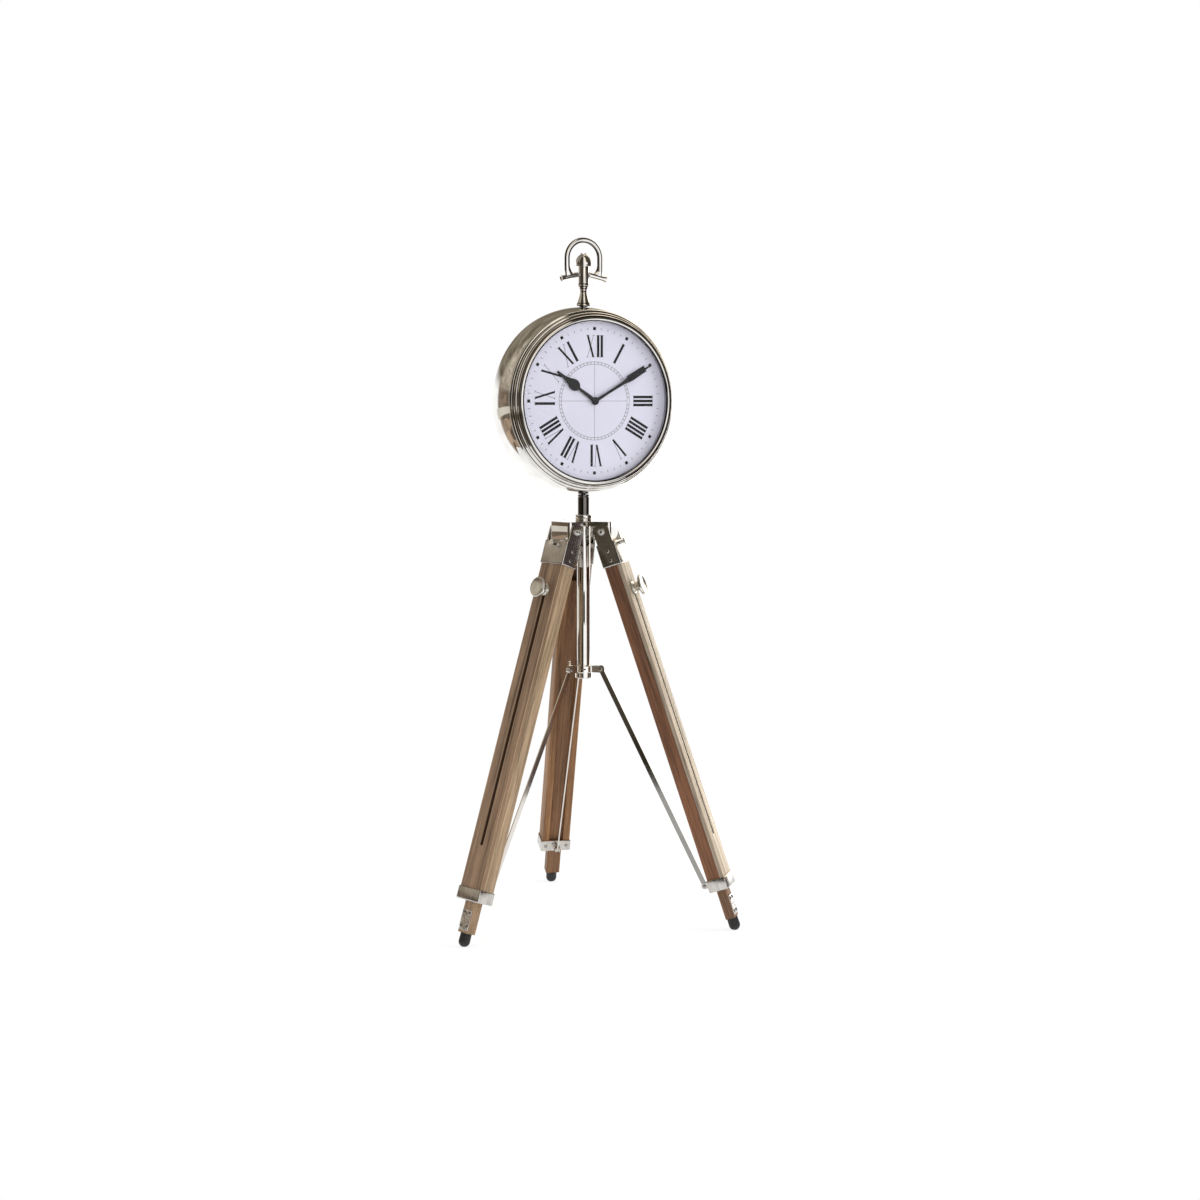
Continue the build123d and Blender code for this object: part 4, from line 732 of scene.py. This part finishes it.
up = Vector((0, 0, 1))
collar_middle, collar_foot, boss_half, boss_bore = hinge_height / mm - 198, -12.95, 4.65, 9.48
fork_reach, ear_thick = 26, 2
stay_height = pole + up * (collar_middle * mm)
outline = [(collar_foot, boss_bore), (collar_foot, 12), (-boss_half, 12), (-boss_half, 14), (boss_half, 14),
           (boss_half, boss_bore)]
outline = [(collar_middle + along, radius) for along, radius in outline]
collar = turned(eased(outline, 0.7), stand_place, 96)
ear_turns = [pi * (step / 16 - 0.5) for step in range(17)]
ear = [(fork_reach + boss_half * cos(turn), boss_half * sin(turn)) for turn in ear_turns]
ear = [(12.5, -boss_half)] + ear + [(12.5, boss_half)]
for outwards in outwards_of.values():
    fork_place = facing(stay_height, outwards.cross(up), outwards)
    for low in (-3.5, 1.5):
        plate_along(collar, ear, fork_place, low, low + ear_thick)
bmesh.ops.recalc_face_normals(collar, faces=collar.faces)
finished("stay_collar_turned", collar, polished_nickel, "stay_collar", "stay_collar")

pins = bmesh.new()
outline = [(0, 0), (0, 1.5), (3.5, 1.5), (3.5, 2.5)] + arc((3.7, 2.5), (4.2, 1.8), (4.4, 0.4), 5) + [(4.4, 0)]
for outwards in outwards_of.values():
    for side in (-1, 1):
        pin_place = facing(stay_height + outwards * fork_reach * mm, outwards.cross(up) * side, outwards)
        join_in(pins, turned(outline, pin_place, 24))
finished("stay_pins_riveted", pins, steel, "stay_collar", "stay_pins")

wing_bearing = radians(137.6)
wing_place = facing(stay_height, Vector((cos(wing_bearing), sin(wing_bearing), 0)), up)
outline = [(9.7, 0), (9.7, 2), (16, 2), (17.5, 3.8), (20.5, 3.8), (21.5, 2.6), (21.5, 0)]
wing = turned(eased(outline, 0.4), wing_place, 32)
leaf_turns = [tau * step / 40 for step in range(40)]
leaf = [(10 * cos(turn) * (0.72 + 0.28 * abs(cos(turn))), 4.5 * sin(turn)) for turn in leaf_turns]
plate_along(wing, leaf, wing_place, 20.2, 22.8)
bmesh.ops.recalc_face_normals(wing, faces=wing.faces)
finished("wing_screw_cast", wing, polished_nickel, "wing_screw", "wing_screw")

# Stays: each stay is a flat bright bar with a rounded eye at both ends; the upper eye turns in the fork.
# The edges are barrel-polished round.
# Painted shade: stay c is tinted far darker than the other two, though all three are the same nickel.
stay_shaded_tints = {"a": (0.75, 0.71, 0.66), "b": (0.75, 0.71, 0.66), "c": (0.35, 0.34, 0.32)}
for leg, place in down_leg.items():
    stay_nickel = metal_finish(f"polished_nickel.stay_{leg}", stay_shaded_tints[leg], 0.05, 0.14, 0.02, 600)
    bar = worked(f"stay_{leg}", place, (longer_than(20), 0.5))
    finished(f"stay_bar_{leg}", bar, stay_nickel, f"stay_{leg}", f"stay_{leg}")

# Stem: a polished rod turns in the pole and screws into the case from below.
# A groove and a shallow ring are turned at its top, close under the case.
case_bottom, case_top = case_low.z / mm, case_high.z / mm
stem_radius, stem_depth, thread_radius, thread_length = 8.15, 100, 3, 7.95
stem_end = [(-4.4, stem_radius), (-3.9, 7.6), (-3.2, 7.6), (-2.7, 8.1), (-0.9, 8.1), (-0.4, 7.5)]
stem_end += [(-0.05, thread_radius), (thread_length, thread_radius), (thread_length, 0)]
outline = [(top - stem_depth, 0), (top - stem_depth, stem_radius)]
outline += [(case_bottom + along, radius) for along, radius in stem_end]
# Painted shade: the stem's nickel is tinted far darker than the pole's, so it looks dark all over.
stem_shaded_nickel = metal_finish("polished_nickel.stem", (0.19, 0.178, 0.166), *polish)
lathed("stem_turned", outline, 0.4, stand_place, 96, stem_shaded_nickel, "head", "stem")


# Case: a drum spun from sheet and polished all over, with bulged sides and a turned-in rim behind.
# A neck in front carries the dial and takes the bezel. Steel nuts inside hold the stem and the crown.
def shaded_node(node, finish):
    """Gives a CAD piece that keeps its own mesh a finish."""
    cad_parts[node].data.materials.clear()
    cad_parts[node].data.materials.append(finish)


clock_place = facing(pole + up * clock_height, Vector((0, -1, 0)), Vector((1, 0, 0)))
shares = ((-1.0, 0.924), (-0.93, 0.973), (-0.70, 0.994), (-0.23, 1.0), (1.0, 0.958))
half_depth, case_radius, wall = 26.5, 131.5, 1.6
neck_start, neck_end, neck_radius, neck_bore = 27, 34.5, 118, 106
outer = [(0.5 + half_depth * along, case_radius * out) for along, out in shares]
inner = [(0.5 + (half_depth - wall) * along, (case_radius - wall) * out) for along, out in shares]
outline = [(-24.4, 110), (-26, 110)] + arc(*outer[:3], 10) + arc(*outer[2:], 24)[1:]
outline += [(neck_start, neck_radius), (neck_end, neck_radius), (neck_end, neck_bore)]
outline += [(neck_end - wall, neck_bore), (neck_end - wall, neck_radius - wall),
            (neck_start - wall, neck_radius - wall)]
outline += arc(*inner[:1:-1], 24) + arc(*inner[2::-1], 10)[1:]
finished("case_spun", turned(outline, clock_place, 256), polished_nickel, "head", "case")
shaded_node("case_nuts", steel)
shaded_node("dial_nut", steel)

# Movement and battery: a black moulded quartz movement hangs behind the dial on its threaded bush.
# Its housing is fine-grained plastic, and the cell in its bay has a plain dark wrap with a bright end.
plastic_stops = [(0.3, (0.018, 0.018, 0.019)), (0.7, (0.036, 0.036, 0.038))]
plastic = mottled_finish("black_plastic", (1300, 2), plastic_stops, 0.38, 0.6, (0.3, 0.1 * mm), haze=(40, 3))
housing = worked("movement", clock_place, (longer_than(5), 0.5))
for x, y, wide, high in ((22, 20, 5, 7), (14, 10, 7, 1.2), (14, 13, 7, 1.2)):
    for side in (-1, 1):
        plate_along(housing, slab(side * x, y, wide, high), clock_place, 17.9, 19)
bmesh.ops.recalc_face_normals(housing, faces=housing.faces)
finished("movement_housing", housing, plastic, "head", "movement")

cell_radius, cell_foot, wrap_end = 7.15, -24.75, 11.5
wrap, add = new_finish("battery_wrap")
spot = add("ShaderNodeTexCoord").outputs["Object"]
along = add("ShaderNodeSeparateXYZ", {"Vector": spot}).outputs["X"]
band = span(add, along, pole.x + wrap_end * mm, pole.x + (wrap_end + 0.3) * mm)
wrap_colour = ramp(add, band, [(0.4, (0.02, 0.02, 0.024)), (0.6, (0.42, 0.27, 0.12))])
surfaced(wrap, add, wrap_colour, span(add, noise(add, spot, 300, 3), 0, 1, 0.2, 0.4))
cell_start = clock_place @ Vector((cell_foot * mm, -17 * mm, (18.45 + cell_radius) * mm))
outline = [(0, 0), (0, 6.6), (0.3, cell_radius), (48, cell_radius), (48.5, 6.4), (48.5, 2.7), (49.5, 2.7),
           (49.5, 0)]
lathed("battery_cell", outline, 0.3, facing(cell_start, Vector((1, 0, 0)), up), 64, wrap, "head", "battery")

# Setting knob: a small ribbed plastic knob on the back of the movement turns the hands.
# Its ribs are moulded all round.
knob_place = clock_place @ Matrix.Translation(Vector((0, 10, 0)) * mm)
rib_depth, rib_count, rib_floor = 0.25, 24, 5.4
outline = [(14.95, 0), (14.95, 5.2), (15.35, 5.7), (17.75, 5.7), (18.15, 5.2), (18.15, 1.5), (23.15, 1.5),
           (23.15, 0)]
ribbed = turned(outline, knob_place, 96)
for vertex in ribbed.verts:
    local = knob_place.inverted() @ vertex.co
    spoke = Vector((local.x, local.y, 0))
    if spoke.length > rib_floor * mm:
        local += spoke.normalized() * rib_depth * mm * cos(rib_count * atan2(local.y, local.x))
        vertex.co = knob_place @ local
finished("setting_knob", ribbed, plastic, "set_knob", "set_knob")

# Back cover: a pressed disc closes the drum, with a rolled opening for the hand that sets the clock.
# Six small screws hold it to the case's rim.
cover_seat, cover_face, cover_radius, lip_radius, lip_bend, screw_circle = -26, -27.6, 119, 50, 2, 115
lip_turns = [pi * step / 12 for step in range(13)]
lip = [(cover_face - lip_bend * sin(turn), lip_radius - lip_bend * cos(turn)) for turn in lip_turns]
outline = [(cover_seat, cover_radius), (cover_seat, lip_radius - lip_bend)] + lip
outline += [(cover_face, cover_radius)]
lathed("back_cover_pressed", outline, 0.4, clock_place, 192, polished_nickel, "head", "back_cover")
cover_head = cross_head("cover_head", *head_sizes, 4.5)
seats = [((screw_circle * cos(turn), screw_circle * sin(turn), cover_face), (0, 0, -1))
         for turn in (tau * step / 6 for step in range(6))]
driven("back_fastenings", "head", "back_screws", cover_head, seats, clock_place, 21, steel)


# Dial: a metal disc enamelled a cool white and printed in black, with a ring of Roman numerals.
# Square hour marks and fine minute strokes stand outside them, and inside them a two-line minute track
# runs round a thin cross.
def ink_finish(name, tone, lift):
    """Printing ink: a little uneven, with a faint sheen."""
    return mottled_finish(name, (1400, 2), [(0.3, (tone,) * 3), (0.7, (tone + lift,) * 3)], 0.4, 0.55,
                          levels={"Specular IOR Level": 0.1})


# Painted shade: the dial's colour is set darker than its white enamel.
dial_white = mottled_finish("dial_white", (2500, 1), [(0.3, (0.61, 0.6, 0.705)), (0.7, (0.65, 0.64, 0.74))],
                            0.45, 0.6, (0.06, 0.05 * mm), haze=(12, 4))
shaded_node("dial", dial_white)
print_black = ink_finish("hand_black.print", 0.008, 0.01)
print_grey = ink_finish("hand_black.grey_print", 0.12, 0.03)
print_pale = ink_finish("hand_black.pale_print", 0.18, 0.05)
ink_low = (pole.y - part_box("dial")[0].y) / mm
ink_high = ink_low + 0.06
foot_line, head_line, stem_width, slant_width, hair = 61.0, 91.0, 3.7, 2.9, 0.55
thick_serif, thin_serif = 5, 3.4


def inked(shape, corners, turn=0):
    """Adds a closed patch of ink, its corners in dial mm, turned clockwise about the dial's middle."""
    angle = radians(turn)
    rotated = [(x * cos(angle) + y * sin(angle), y * cos(angle) - x * sin(angle)) for x, y in corners]
    plate_along(shape, rotated, clock_place, ink_low, ink_high)


def stroke(shape, start, end, width, turn):
    """A stroke whose ends are cut level with the dial's foot and head lines."""
    (x0, y0), (x1, y1) = start, end
    half = width * hypot(x1 - x0, y1 - y0) / abs(y1 - y0) / 2
    inked(shape, [(x0 - half, y0), (x0 + half, y0), (x1 + half, y1), (x1 - half, y1)], turn)


# A letter is its strokes, each (foot, head, width), and its serifs, each (place, line, width).
letters = {
    "I": ([(0, 0, stem_width)], [(0, foot_line, thick_serif), (0, head_line, thick_serif)]),
    "V": ([(0, -6.4, slant_width), (0.4, 2.4, hair)],
          [(-6.4, head_line, thick_serif), (2.4, head_line, thin_serif)]),
    "X": ([(4.2, -4.2, slant_width), (-4.8, 4.8, hair)],
          [(-4.2, head_line, thick_serif), (4.8, head_line, thin_serif), (4.2, foot_line, thick_serif),
           (-4.8, foot_line, thin_serif)])}
spacing = {"II": 5.6, "IX": 11.8, "XI": 11.8, "VI": 7.6}
numerals = bmesh.new()
for hour, (word, aside) in enumerate((
        ("XII", 2.5), ("I", 0), ("II", 0), ("III", 0), ("IIII", 0), ("V", 2.2), ("VI", 0.5), ("VII", 0),
        ("VIII", 0), ("IX", 2.4), ("X", 0), ("XI", -1))):
    middles = [0]
    for pair in zip(word, word[1:]):
        middles.append(middles[-1] + spacing["".join(pair)])
    shift = aside - (middles[0] + middles[-1]) / 2
    for letter, middle in zip(word, middles):
        middle += shift
        strokes, serifs = letters[letter]
        for foot, head, width in strokes:
            stroke(numerals, (middle + foot, foot_line), (middle + head, head_line), width, hour * 30)
        for x, line, width in serifs:
            stroke(numerals, (middle + x, line - hair / 2), (middle + x, line + hair / 2), width, hour * 30)
bmesh.ops.recalc_face_normals(numerals, faces=numerals.faces)
finished("dial_numerals", numerals, print_black, "head")


def dial_marks():
    """Geometry nodes: equal marks round the dial, leaving out every nth one."""
    tree, add, given = node_tree("dial_marks", {
        "Base": "Geometry", "Count": "Int", "Radius": "Float", "Width": "Float", "Length": "Float",
        "Left out": "Int", "Ink": "Float", "Finish": "Material"}, "Marks")
    ring = add("GeometryNodeMeshCircle", {"Vertices": given["Count"], "Radius": given["Radius"]})
    index = add("GeometryNodeInputIndex").outputs["Index"]
    gone = maths(add, "LESS_THAN", maths(add, "MODULO", index, given["Left out"]), 0.5)
    kept = add("GeometryNodeDeleteGeometry", {"Geometry": ring.outputs["Mesh"], "Selection": gone},
               domain="POINT")
    spot = add("GeometryNodeInputPosition").outputs["Position"]
    turn = add("FunctionNodeAlignRotationToVector", {"Vector": spot}, axis="Y").outputs["Rotation"]
    size = add("ShaderNodeCombineXYZ", {"X": given["Width"], "Y": given["Length"], "Z": given["Ink"]})
    mark = add("GeometryNodeMeshCube", {"Size": size.outputs[0]}).outputs["Mesh"]
    points = add("GeometryNodeMeshToPoints", {"Mesh": kept.outputs["Geometry"]}).outputs["Points"]
    marks = add("GeometryNodeInstanceOnPoints", {"Points": points, "Instance": mark, "Rotation": turn})
    return end_tree(tree, add, marks.outputs["Instances"], given["Finish"], "Marks")


mark_tree = dial_marks()
ink_place = clock_place @ Matrix.Translation(Vector((0, 0, (ink_low + ink_high) / 2)) * mm)
for name, count, radius, width, length, left_out, ink in (
        ("hour_squares", 12, 100.3, 4.4, 4.4, 99, print_black),
        ("minute_strokes", 60, 100, 0.9, 3.2, 5, print_pale),
        ("track_strokes", 60, 52.6, 0.8, 3.3, 99, print_grey)):
    mesh = grown(name, bpy.data.meshes.new(name + "_base"), mark_tree, {
        "Count": count, "Radius": radius * mm, "Width": width * mm, "Length": length * mm,
        "Left out": left_out, "Ink": (ink_high - ink_low) * mm, "Finish": ink})
    mesh.transform(ink_place)
    placed(name, mesh, ink, "head")

track, line_half = bmesh.new(), 0.25
for radius in (54.4, 50.9):
    within, beyond = radius - line_half, radius + line_half
    outline = [(ink_low, within), (ink_low, beyond), (ink_high, beyond), (ink_high, within)]
    join_in(track, turned(outline, clock_place, 192))
for turn in (0, 90, 180, 270):
    inked(track, slab(0, 28.25, 2 * line_half, 44.5), turn)
bmesh.ops.recalc_face_normals(track, faces=track.faces)
finished("minute_track", track, print_grey, "head")


# Hands: stamped steel in satin black, an hour hand with a pear bulb and a long leaf for the minutes.
# Both sit on round bosses in the middle, under a small turned cap.
def smooth_edge(points, steps=10):
    """A curve through points, after Catmull and Rom."""
    ends = [points[0]] + points + [points[-1]]
    curve = [points[0]]
    for place in range(1, len(ends) - 2):
        p0, p1, p2, p3 = (Vector(point) for point in ends[place - 1:place + 3])
        for step in range(1, steps + 1):
            t = step / steps
            bend, twist = 2 * p0 - 5 * p1 + 4 * p2 - p3, 3 * p1 - p0 - 3 * p2 + p3
            point = 0.5 * (2 * p1 + (p2 - p0) * t + bend * t * t + twist * t ** 3)
            curve.append((point.x, point.y))
    return curve


def hand_piece(name, node, angle, edge, low, cap):
    """A stamped hand: blade and boss, slightly rounded, with its pipe and cap."""
    hand_place = clock_place @ Matrix.Rotation(radians(90 - angle), 4, "Z")
    shape = bmesh.new()
    plate_along(shape, edge + [(x, -y) for x, y in reversed(edge)], hand_place, low, low + hand_thick)
    rim = [edge_line for edge_line in shape.edges if edge_line.calc_face_angle(0) > radians(60)]
    bmesh.ops.bevel(shape, geom=rim, offset=0.12 * mm, segments=2, profile=0.5, affect="EDGES",
                    clamp_overlap=True)
    boss = [(low, 0), (low, 5.5), (low + hand_thick, 5.5), (low + hand_thick, 0)]
    join_in(shape, turned(eased(boss, 0.2), hand_place, 64))
    join_in(shape, turned(cap, hand_place, 48))
    finished(name, shape, hand_black, node, node)


hand_black = mottled_finish("hand_black", (1100, 2), [(0.3, (0.01, 0.01, 0.011)), (0.7, (0.02, 0.02, 0.021))],
                            0.3, 0.45, (0.1, 0.05 * mm), levels={"Specular IOR Level": 0.15})
hand_thick, ten_past, ten_o_clock = 0.6, 60, 305
bulb = smooth_edge([(29.6, 1.9), (31.6, 4.6), (34.6, 6.9), (38.8, 7.8), (43.2, 7.0), (47.5, 5.0), (52.0, 3.5),
                    (58.0, 2.3), (65.0, 1.8)], 6)
hour_edge = [(5, 2.8), (18, 2.4)] + bulb + [(70.4, 1.6)]
hour_pipe = [(34.5, 0), (34.5, 2.6), (37.5, 2.6), (37.5, 0)]
hand_piece("hour_hand_stamped", "hour_hand", ten_o_clock, hour_edge, 37.3, hour_pipe)
minute_edge = [(5, 2.2), (20, 1.8), (50.4, 2.16), (64.5, 4.5), (84.7, 3.6), (90.7, 1.44), (100.6, 0.45)]
minute_cap = [(29.5, 0), (29.5, 1.65), (38.6, 1.65), (38.6, 2.8), (39.6, 2.8), (39.8, 2.4), (39.8, 0)]
hand_piece("minute_hand_stamped", "minute_hand", ten_past, minute_edge, 38.4, minute_cap)

# Spacer ring and glass: a ring tinted darker than the rest of the nickel stands between dial and glass, and a
# flat pane lies on it.
# The pane is lightly wiped, and lets light through to the dial.
ring_back, pane_back, pane_front, ring_bore, pane_radius = 35.5, 40.2, 41.8, 110.5, 112
ring_nickel = metal_finish("ring_nickel", (0.42, 0.41, 0.43), 0.18, 0.32, 0.04)
outline = [(ring_back, ring_bore), (ring_back, pane_radius), (pane_back, pane_radius), (pane_back, ring_bore)]
finished("spacer_ring", turned(outline, clock_place, 256), ring_nickel, "head", "dial_ring")

clear_glass, add = new_finish("clear_glass")
shader = clear_glass.node_tree.nodes["Principled BSDF"]
for socket, value in (("Base Color", full_white), ("Transmission Weight", 1), ("IOR", 1.18)):
    shader.inputs[socket].default_value = value
smear = noise(add, add("ShaderNodeTexCoord").outputs["Object"], 30, 3)
clear_glass.node_tree.links.new(span(add, smear, 0.4, 0.8, 0, 0.02), shader.inputs["Roughness"])
through = add("ShaderNodeBsdfTransparent").outputs[0]
in_shadow = add("ShaderNodeLightPath").outputs["Is Shadow Ray"]
pane = add("ShaderNodeMixShader", {0: in_shadow, 1: shader.outputs[0], 2: through}).outputs[0]
clear_glass.node_tree.links.new(pane, clear_glass.node_tree.nodes["Material Output"].inputs["Surface"])
outline = [(pane_back, 0), (pane_back, pane_radius - 0.3), (pane_back + 0.3, pane_radius),
           (pane_front - 0.3, pane_radius), (pane_front, pane_radius - 0.3), (pane_front, 0)]
finished("glass_pane", turned(outline, clock_place, 192), clear_glass, "head", "glass")


# Bezel: it is spun with four beads and pushed over the case's neck, and its inner lip holds the glass.
# Shade is painted dark into the grooves between the beads and along the edge next to the glass.
def groove_shade_lines(axis, start, reach, lines, half):
    """Painted shade in turned grooves: thin dark bands across an axis, at shares of a reach."""
    unshaded, groove_dark = (1, 1, 1), (0.13, 0.11, 0.1)

    def painted_shade(add, spot):
        along = add("ShaderNodeSeparateXYZ", {"Vector": spot}).outputs[axis]
        bands = [(0, unshaded)]
        for line in lines:
            bands += [(line - 2 * half, unshaded), (line - half, groove_dark)]
            bands += [(line + half, groove_dark), (line + 2 * half, unshaded)]
        return ramp(add, span(add, along, start, start + reach), bands)
    return painted_shade


def far_from(add, offset):
    return add("ShaderNodeVectorMath", {0: offset}, operation="LENGTH").outputs["Value"]


def bezel_painted_shade(add, spot):
    """Painted shade in the grooves between the beads, and along the inner edge round the glass."""
    offset = vectors(add, "ADD", spot, (-pole.x, 0, -clock_height))
    reach = far_from(add, vectors(add, "MULTIPLY", offset, (1, 0, 1)))
    # Painted shade: a dark ring along the lip next to the glass.
    edge = ramp(add, span(add, reach, 111.4 * mm, 112.3 * mm), [(0, (0.08, 0.07, 0.065)), (1, (1, 1, 1))])
    return mixed(add, 1.0, edge, bezel_groove_shade(add, spot), "MULTIPLY")


bezel_back, bezel_depth, bezel_radius, bezel_face = neck_start, 17.5, 126.6, 16.1
beads = (((0.0, 0.0), (0.20, 0.03), (0.30, 0.20)), ((0.36, 0.25), (0.56, 0.28), (0.64, 0.44)),
         ((0.68, 0.47), (0.86, 0.50), (0.93, 0.62)), ((0.93, 0.64), (1.0, 0.81), (0.95, 0.985)))
points = []
for bead in beads:
    points += arc(*[(bezel_back + bezel_depth * along, bezel_radius - bezel_face * inset)
                    for along, inset in bead])
points += [(pane_front, ring_bore), (pane_front, 112.05), (neck_end, 112.05), (neck_end, neck_radius + 0.05),
           (bezel_back, neck_radius + 0.05)]
outline = [point for before, point in zip(points[-1:] + points, points)
           if (Vector(point) - Vector(before)).length > 0.02]
groove_shares = (0.03, 0.335, 0.665, 0.922)
bezel_groove_shade = groove_shade_lines("Y", pole.y - bezel_back * mm, -bezel_depth * mm, groove_shares, 0.02)
bezel_nickel = metal_finish("polished_nickel.bezel", (0.8, 0.785, 0.755), *polish, bezel_painted_shade)
finished("bezel_spun", turned(outline, clock_place, 256), bezel_nickel, "head", "bezel")

# Crown: a turned post screws into the top of the case, with bead, flange, waist and shaft.
# A domed cap is pressed on it, and a pin through the shaft carries the bail.
crown_tint, cap_seat, pivot_rise = (0.86, 0.845, 0.815), 56.3, 45
crown_place = Matrix.Translation(pole + up * (case_top * mm))
outline = [(-7.95, 0), (-7.95, 3), (0.05, 3)] + arc((0.05, 5.4), (0.65, 6), (1.25, 5.4))
outline += [(1.25, 9.6), (1.7, 10), (3.0, 10)] + arc((3.45, 9.8), (13.2, 6.3), (21.5, 4.5), 14)
outline += arc((22, 4.7), (23.2, 5.5), (24.4, 4.9), 6) + [(29, 6.9), (29.5, 7.9), (30.5, 7.9), (31.1, 7.4)]
outline += [(cap_seat, 7.4), (cap_seat, 3), (cap_seat + 8, 3), (cap_seat + 8, 0)]
# Painted shade: dark bands in the crown post's grooves.
crown_groove_shade = groove_shade_lines("Z", case_top * mm, 60 * mm, (0.02, 0.08, 0.355, 0.43, 0.475, 0.53), 0.008)
crown_nickel = metal_finish("polished_nickel.crown", crown_tint, *polish, crown_groove_shade)
lathed("crown_post_turned", outline, 0.35, crown_place, 96, crown_nickel, "head", "crown_post")
outline = [(cap_seat, 0), (cap_seat, 11.25), (cap_seat + 1.5, 11.25)]
outline += arc((58.3, 11.1), (66.9, 9.9), (72.7, 4.9), 14) + [(73.2, 2.6), (73.3, 0)]
dome = turned(eased(outline, 0.4), crown_place, 96)
outline = [(-1.5, 0), (-1.5, 1.6)] + arc((0, 1.6), (1.5, 1.15), (2.2, 0.1), 6) + [(2.2, 0)]
for side in (-1, 1):
    join_in(dome, turned(outline, crown_place @ Matrix.Translation(Vector((side * 3, 0, 73)) * mm), 24))
finished("crown_cap_turned", dome, polished_nickel, "head", "crown_cap")
pivot = pole + up * ((case_top + pivot_rise) * mm)
pin_place = facing(pivot, Vector((1, 0, 0)), up)
outline = [(-12.5, 0), (-12.5, 2), (12.5, 2), (12.5, 0)]
lathed("bail_pin_turned", outline, 0.3, pin_place, 32, polished_nickel, "head", "bail_pin")


# Bail: a bow of bright bar, widened inwards where it meets two drooping arms that end in cups.
# The whole bail swings on the pin through the crown's shaft.
def squared(value, swell):
    """A circle's cosine or sine made fuller, towards a square."""
    return abs(value) ** swell * (1 if value > 0 else -1)


droop, arm_root = radians(13), 3.7
bail = bmesh.new()
outline = [(0, 0), (0, arm_root), (20.5, 3.6), (23.5, 3.9), (26.5, 4.8), (26.5, 3.9), (25.3, 2.6), (24.8, 0)]
for side in (-1, 1):
    start = pivot + Vector((side * (7.7 + arm_root * sin(droop)) * mm, 0, 0))
    arm_place = facing(start, Vector((side * cos(droop), 0, -sin(droop))), Vector((0, 1, 0)))
    join_in(bail, turned(eased(outline, 0.5), arm_place, 48))

bow_reach, bow_spring, bow_low, web_height = 25.8, 22.5, -3.0, 17
bow_outside, bow_inside, bow_half, leg_steps, bend_steps, round_steps = 3.2, 4.2, 3.0, 20, 48, 28
stations = []
for step in range(leg_steps + 1):
    rise = bow_low + (bow_spring - bow_low) * step / leg_steps
    web = max(0, 1 - (rise - bow_low) / web_height) ** 2.2
    stations.append((Vector((-bow_reach, rise)), Vector((-1, 0)), bow_outside - web, bow_inside + 11 * web))
for step in range(1, bend_steps):
    angle = pi * step / bend_steps
    way = Vector((-cos(angle), sin(angle)))
    stations.append((Vector((0, bow_spring)) + way * bow_reach, way, bow_outside, bow_inside))
stations += [(Vector((-middle.x, middle.y)), Vector((-way.x, way.y)), *widths)
             for middle, way, *widths in stations[leg_steps::-1]]
rings = []
for middle, way, outside, inside in stations:
    ring = []
    for step in range(round_steps):
        angle = tau * step / round_steps
        spot = middle + way * (outside if cos(angle) > 0 else inside) * squared(cos(angle), 0.8)
        deep = bow_half * squared(sin(angle), 0.8)
        ring.append(bail.verts.new(pivot + Vector((spot.x, deep, spot.y)) * mm))
    rings.append(ring)
for near, far in zip(rings, rings[1:]):
    for step in range(round_steps):
        after = (step + 1) % round_steps
        bail.faces.new((near[step], near[after], far[after], far[step]))
bail.faces.new(rings[0])
bail.faces.new(rings[-1][::-1])
bmesh.ops.recalc_face_normals(bail, faces=bail.faces)


def bow_edge_shade(add, spot):
    """Painted shade along the inner and outer edges of the bow."""
    spring = pivot.z + bow_spring * mm
    offset = vectors(add, "ADD", spot, (-pole.x, -pole.y, -spring))
    offset = add("ShaderNodeSeparateXYZ", {"Vector": offset}).outputs
    rise = maths(add, "MAXIMUM", offset["Z"], 0.0)
    reach = far_from(add, add("ShaderNodeCombineXYZ", {"X": offset["X"], "Z": rise}).outputs[0])
    aside = maths(add, "ABSOLUTE", maths(add, "SUBTRACT", reach, bow_reach * mm))
    above_arms = maths(add, "GREATER_THAN", offset["Z"], -18 * mm)
    edge = maths(add, "MULTIPLY", span(add, aside, 1.3 * mm, 2.9 * mm), above_arms)
    return ramp(add, edge, [(0, (1, 1, 1)), (0.5, (0.6, 0.58, 0.55)), (1, (0.14, 0.12, 0.11))])


bail_nickel = metal_finish("polished_nickel.bail", crown_tint, *polish, bow_edge_shade)
finished("bail_bow", bail, bail_nickel, "bail", "bail")
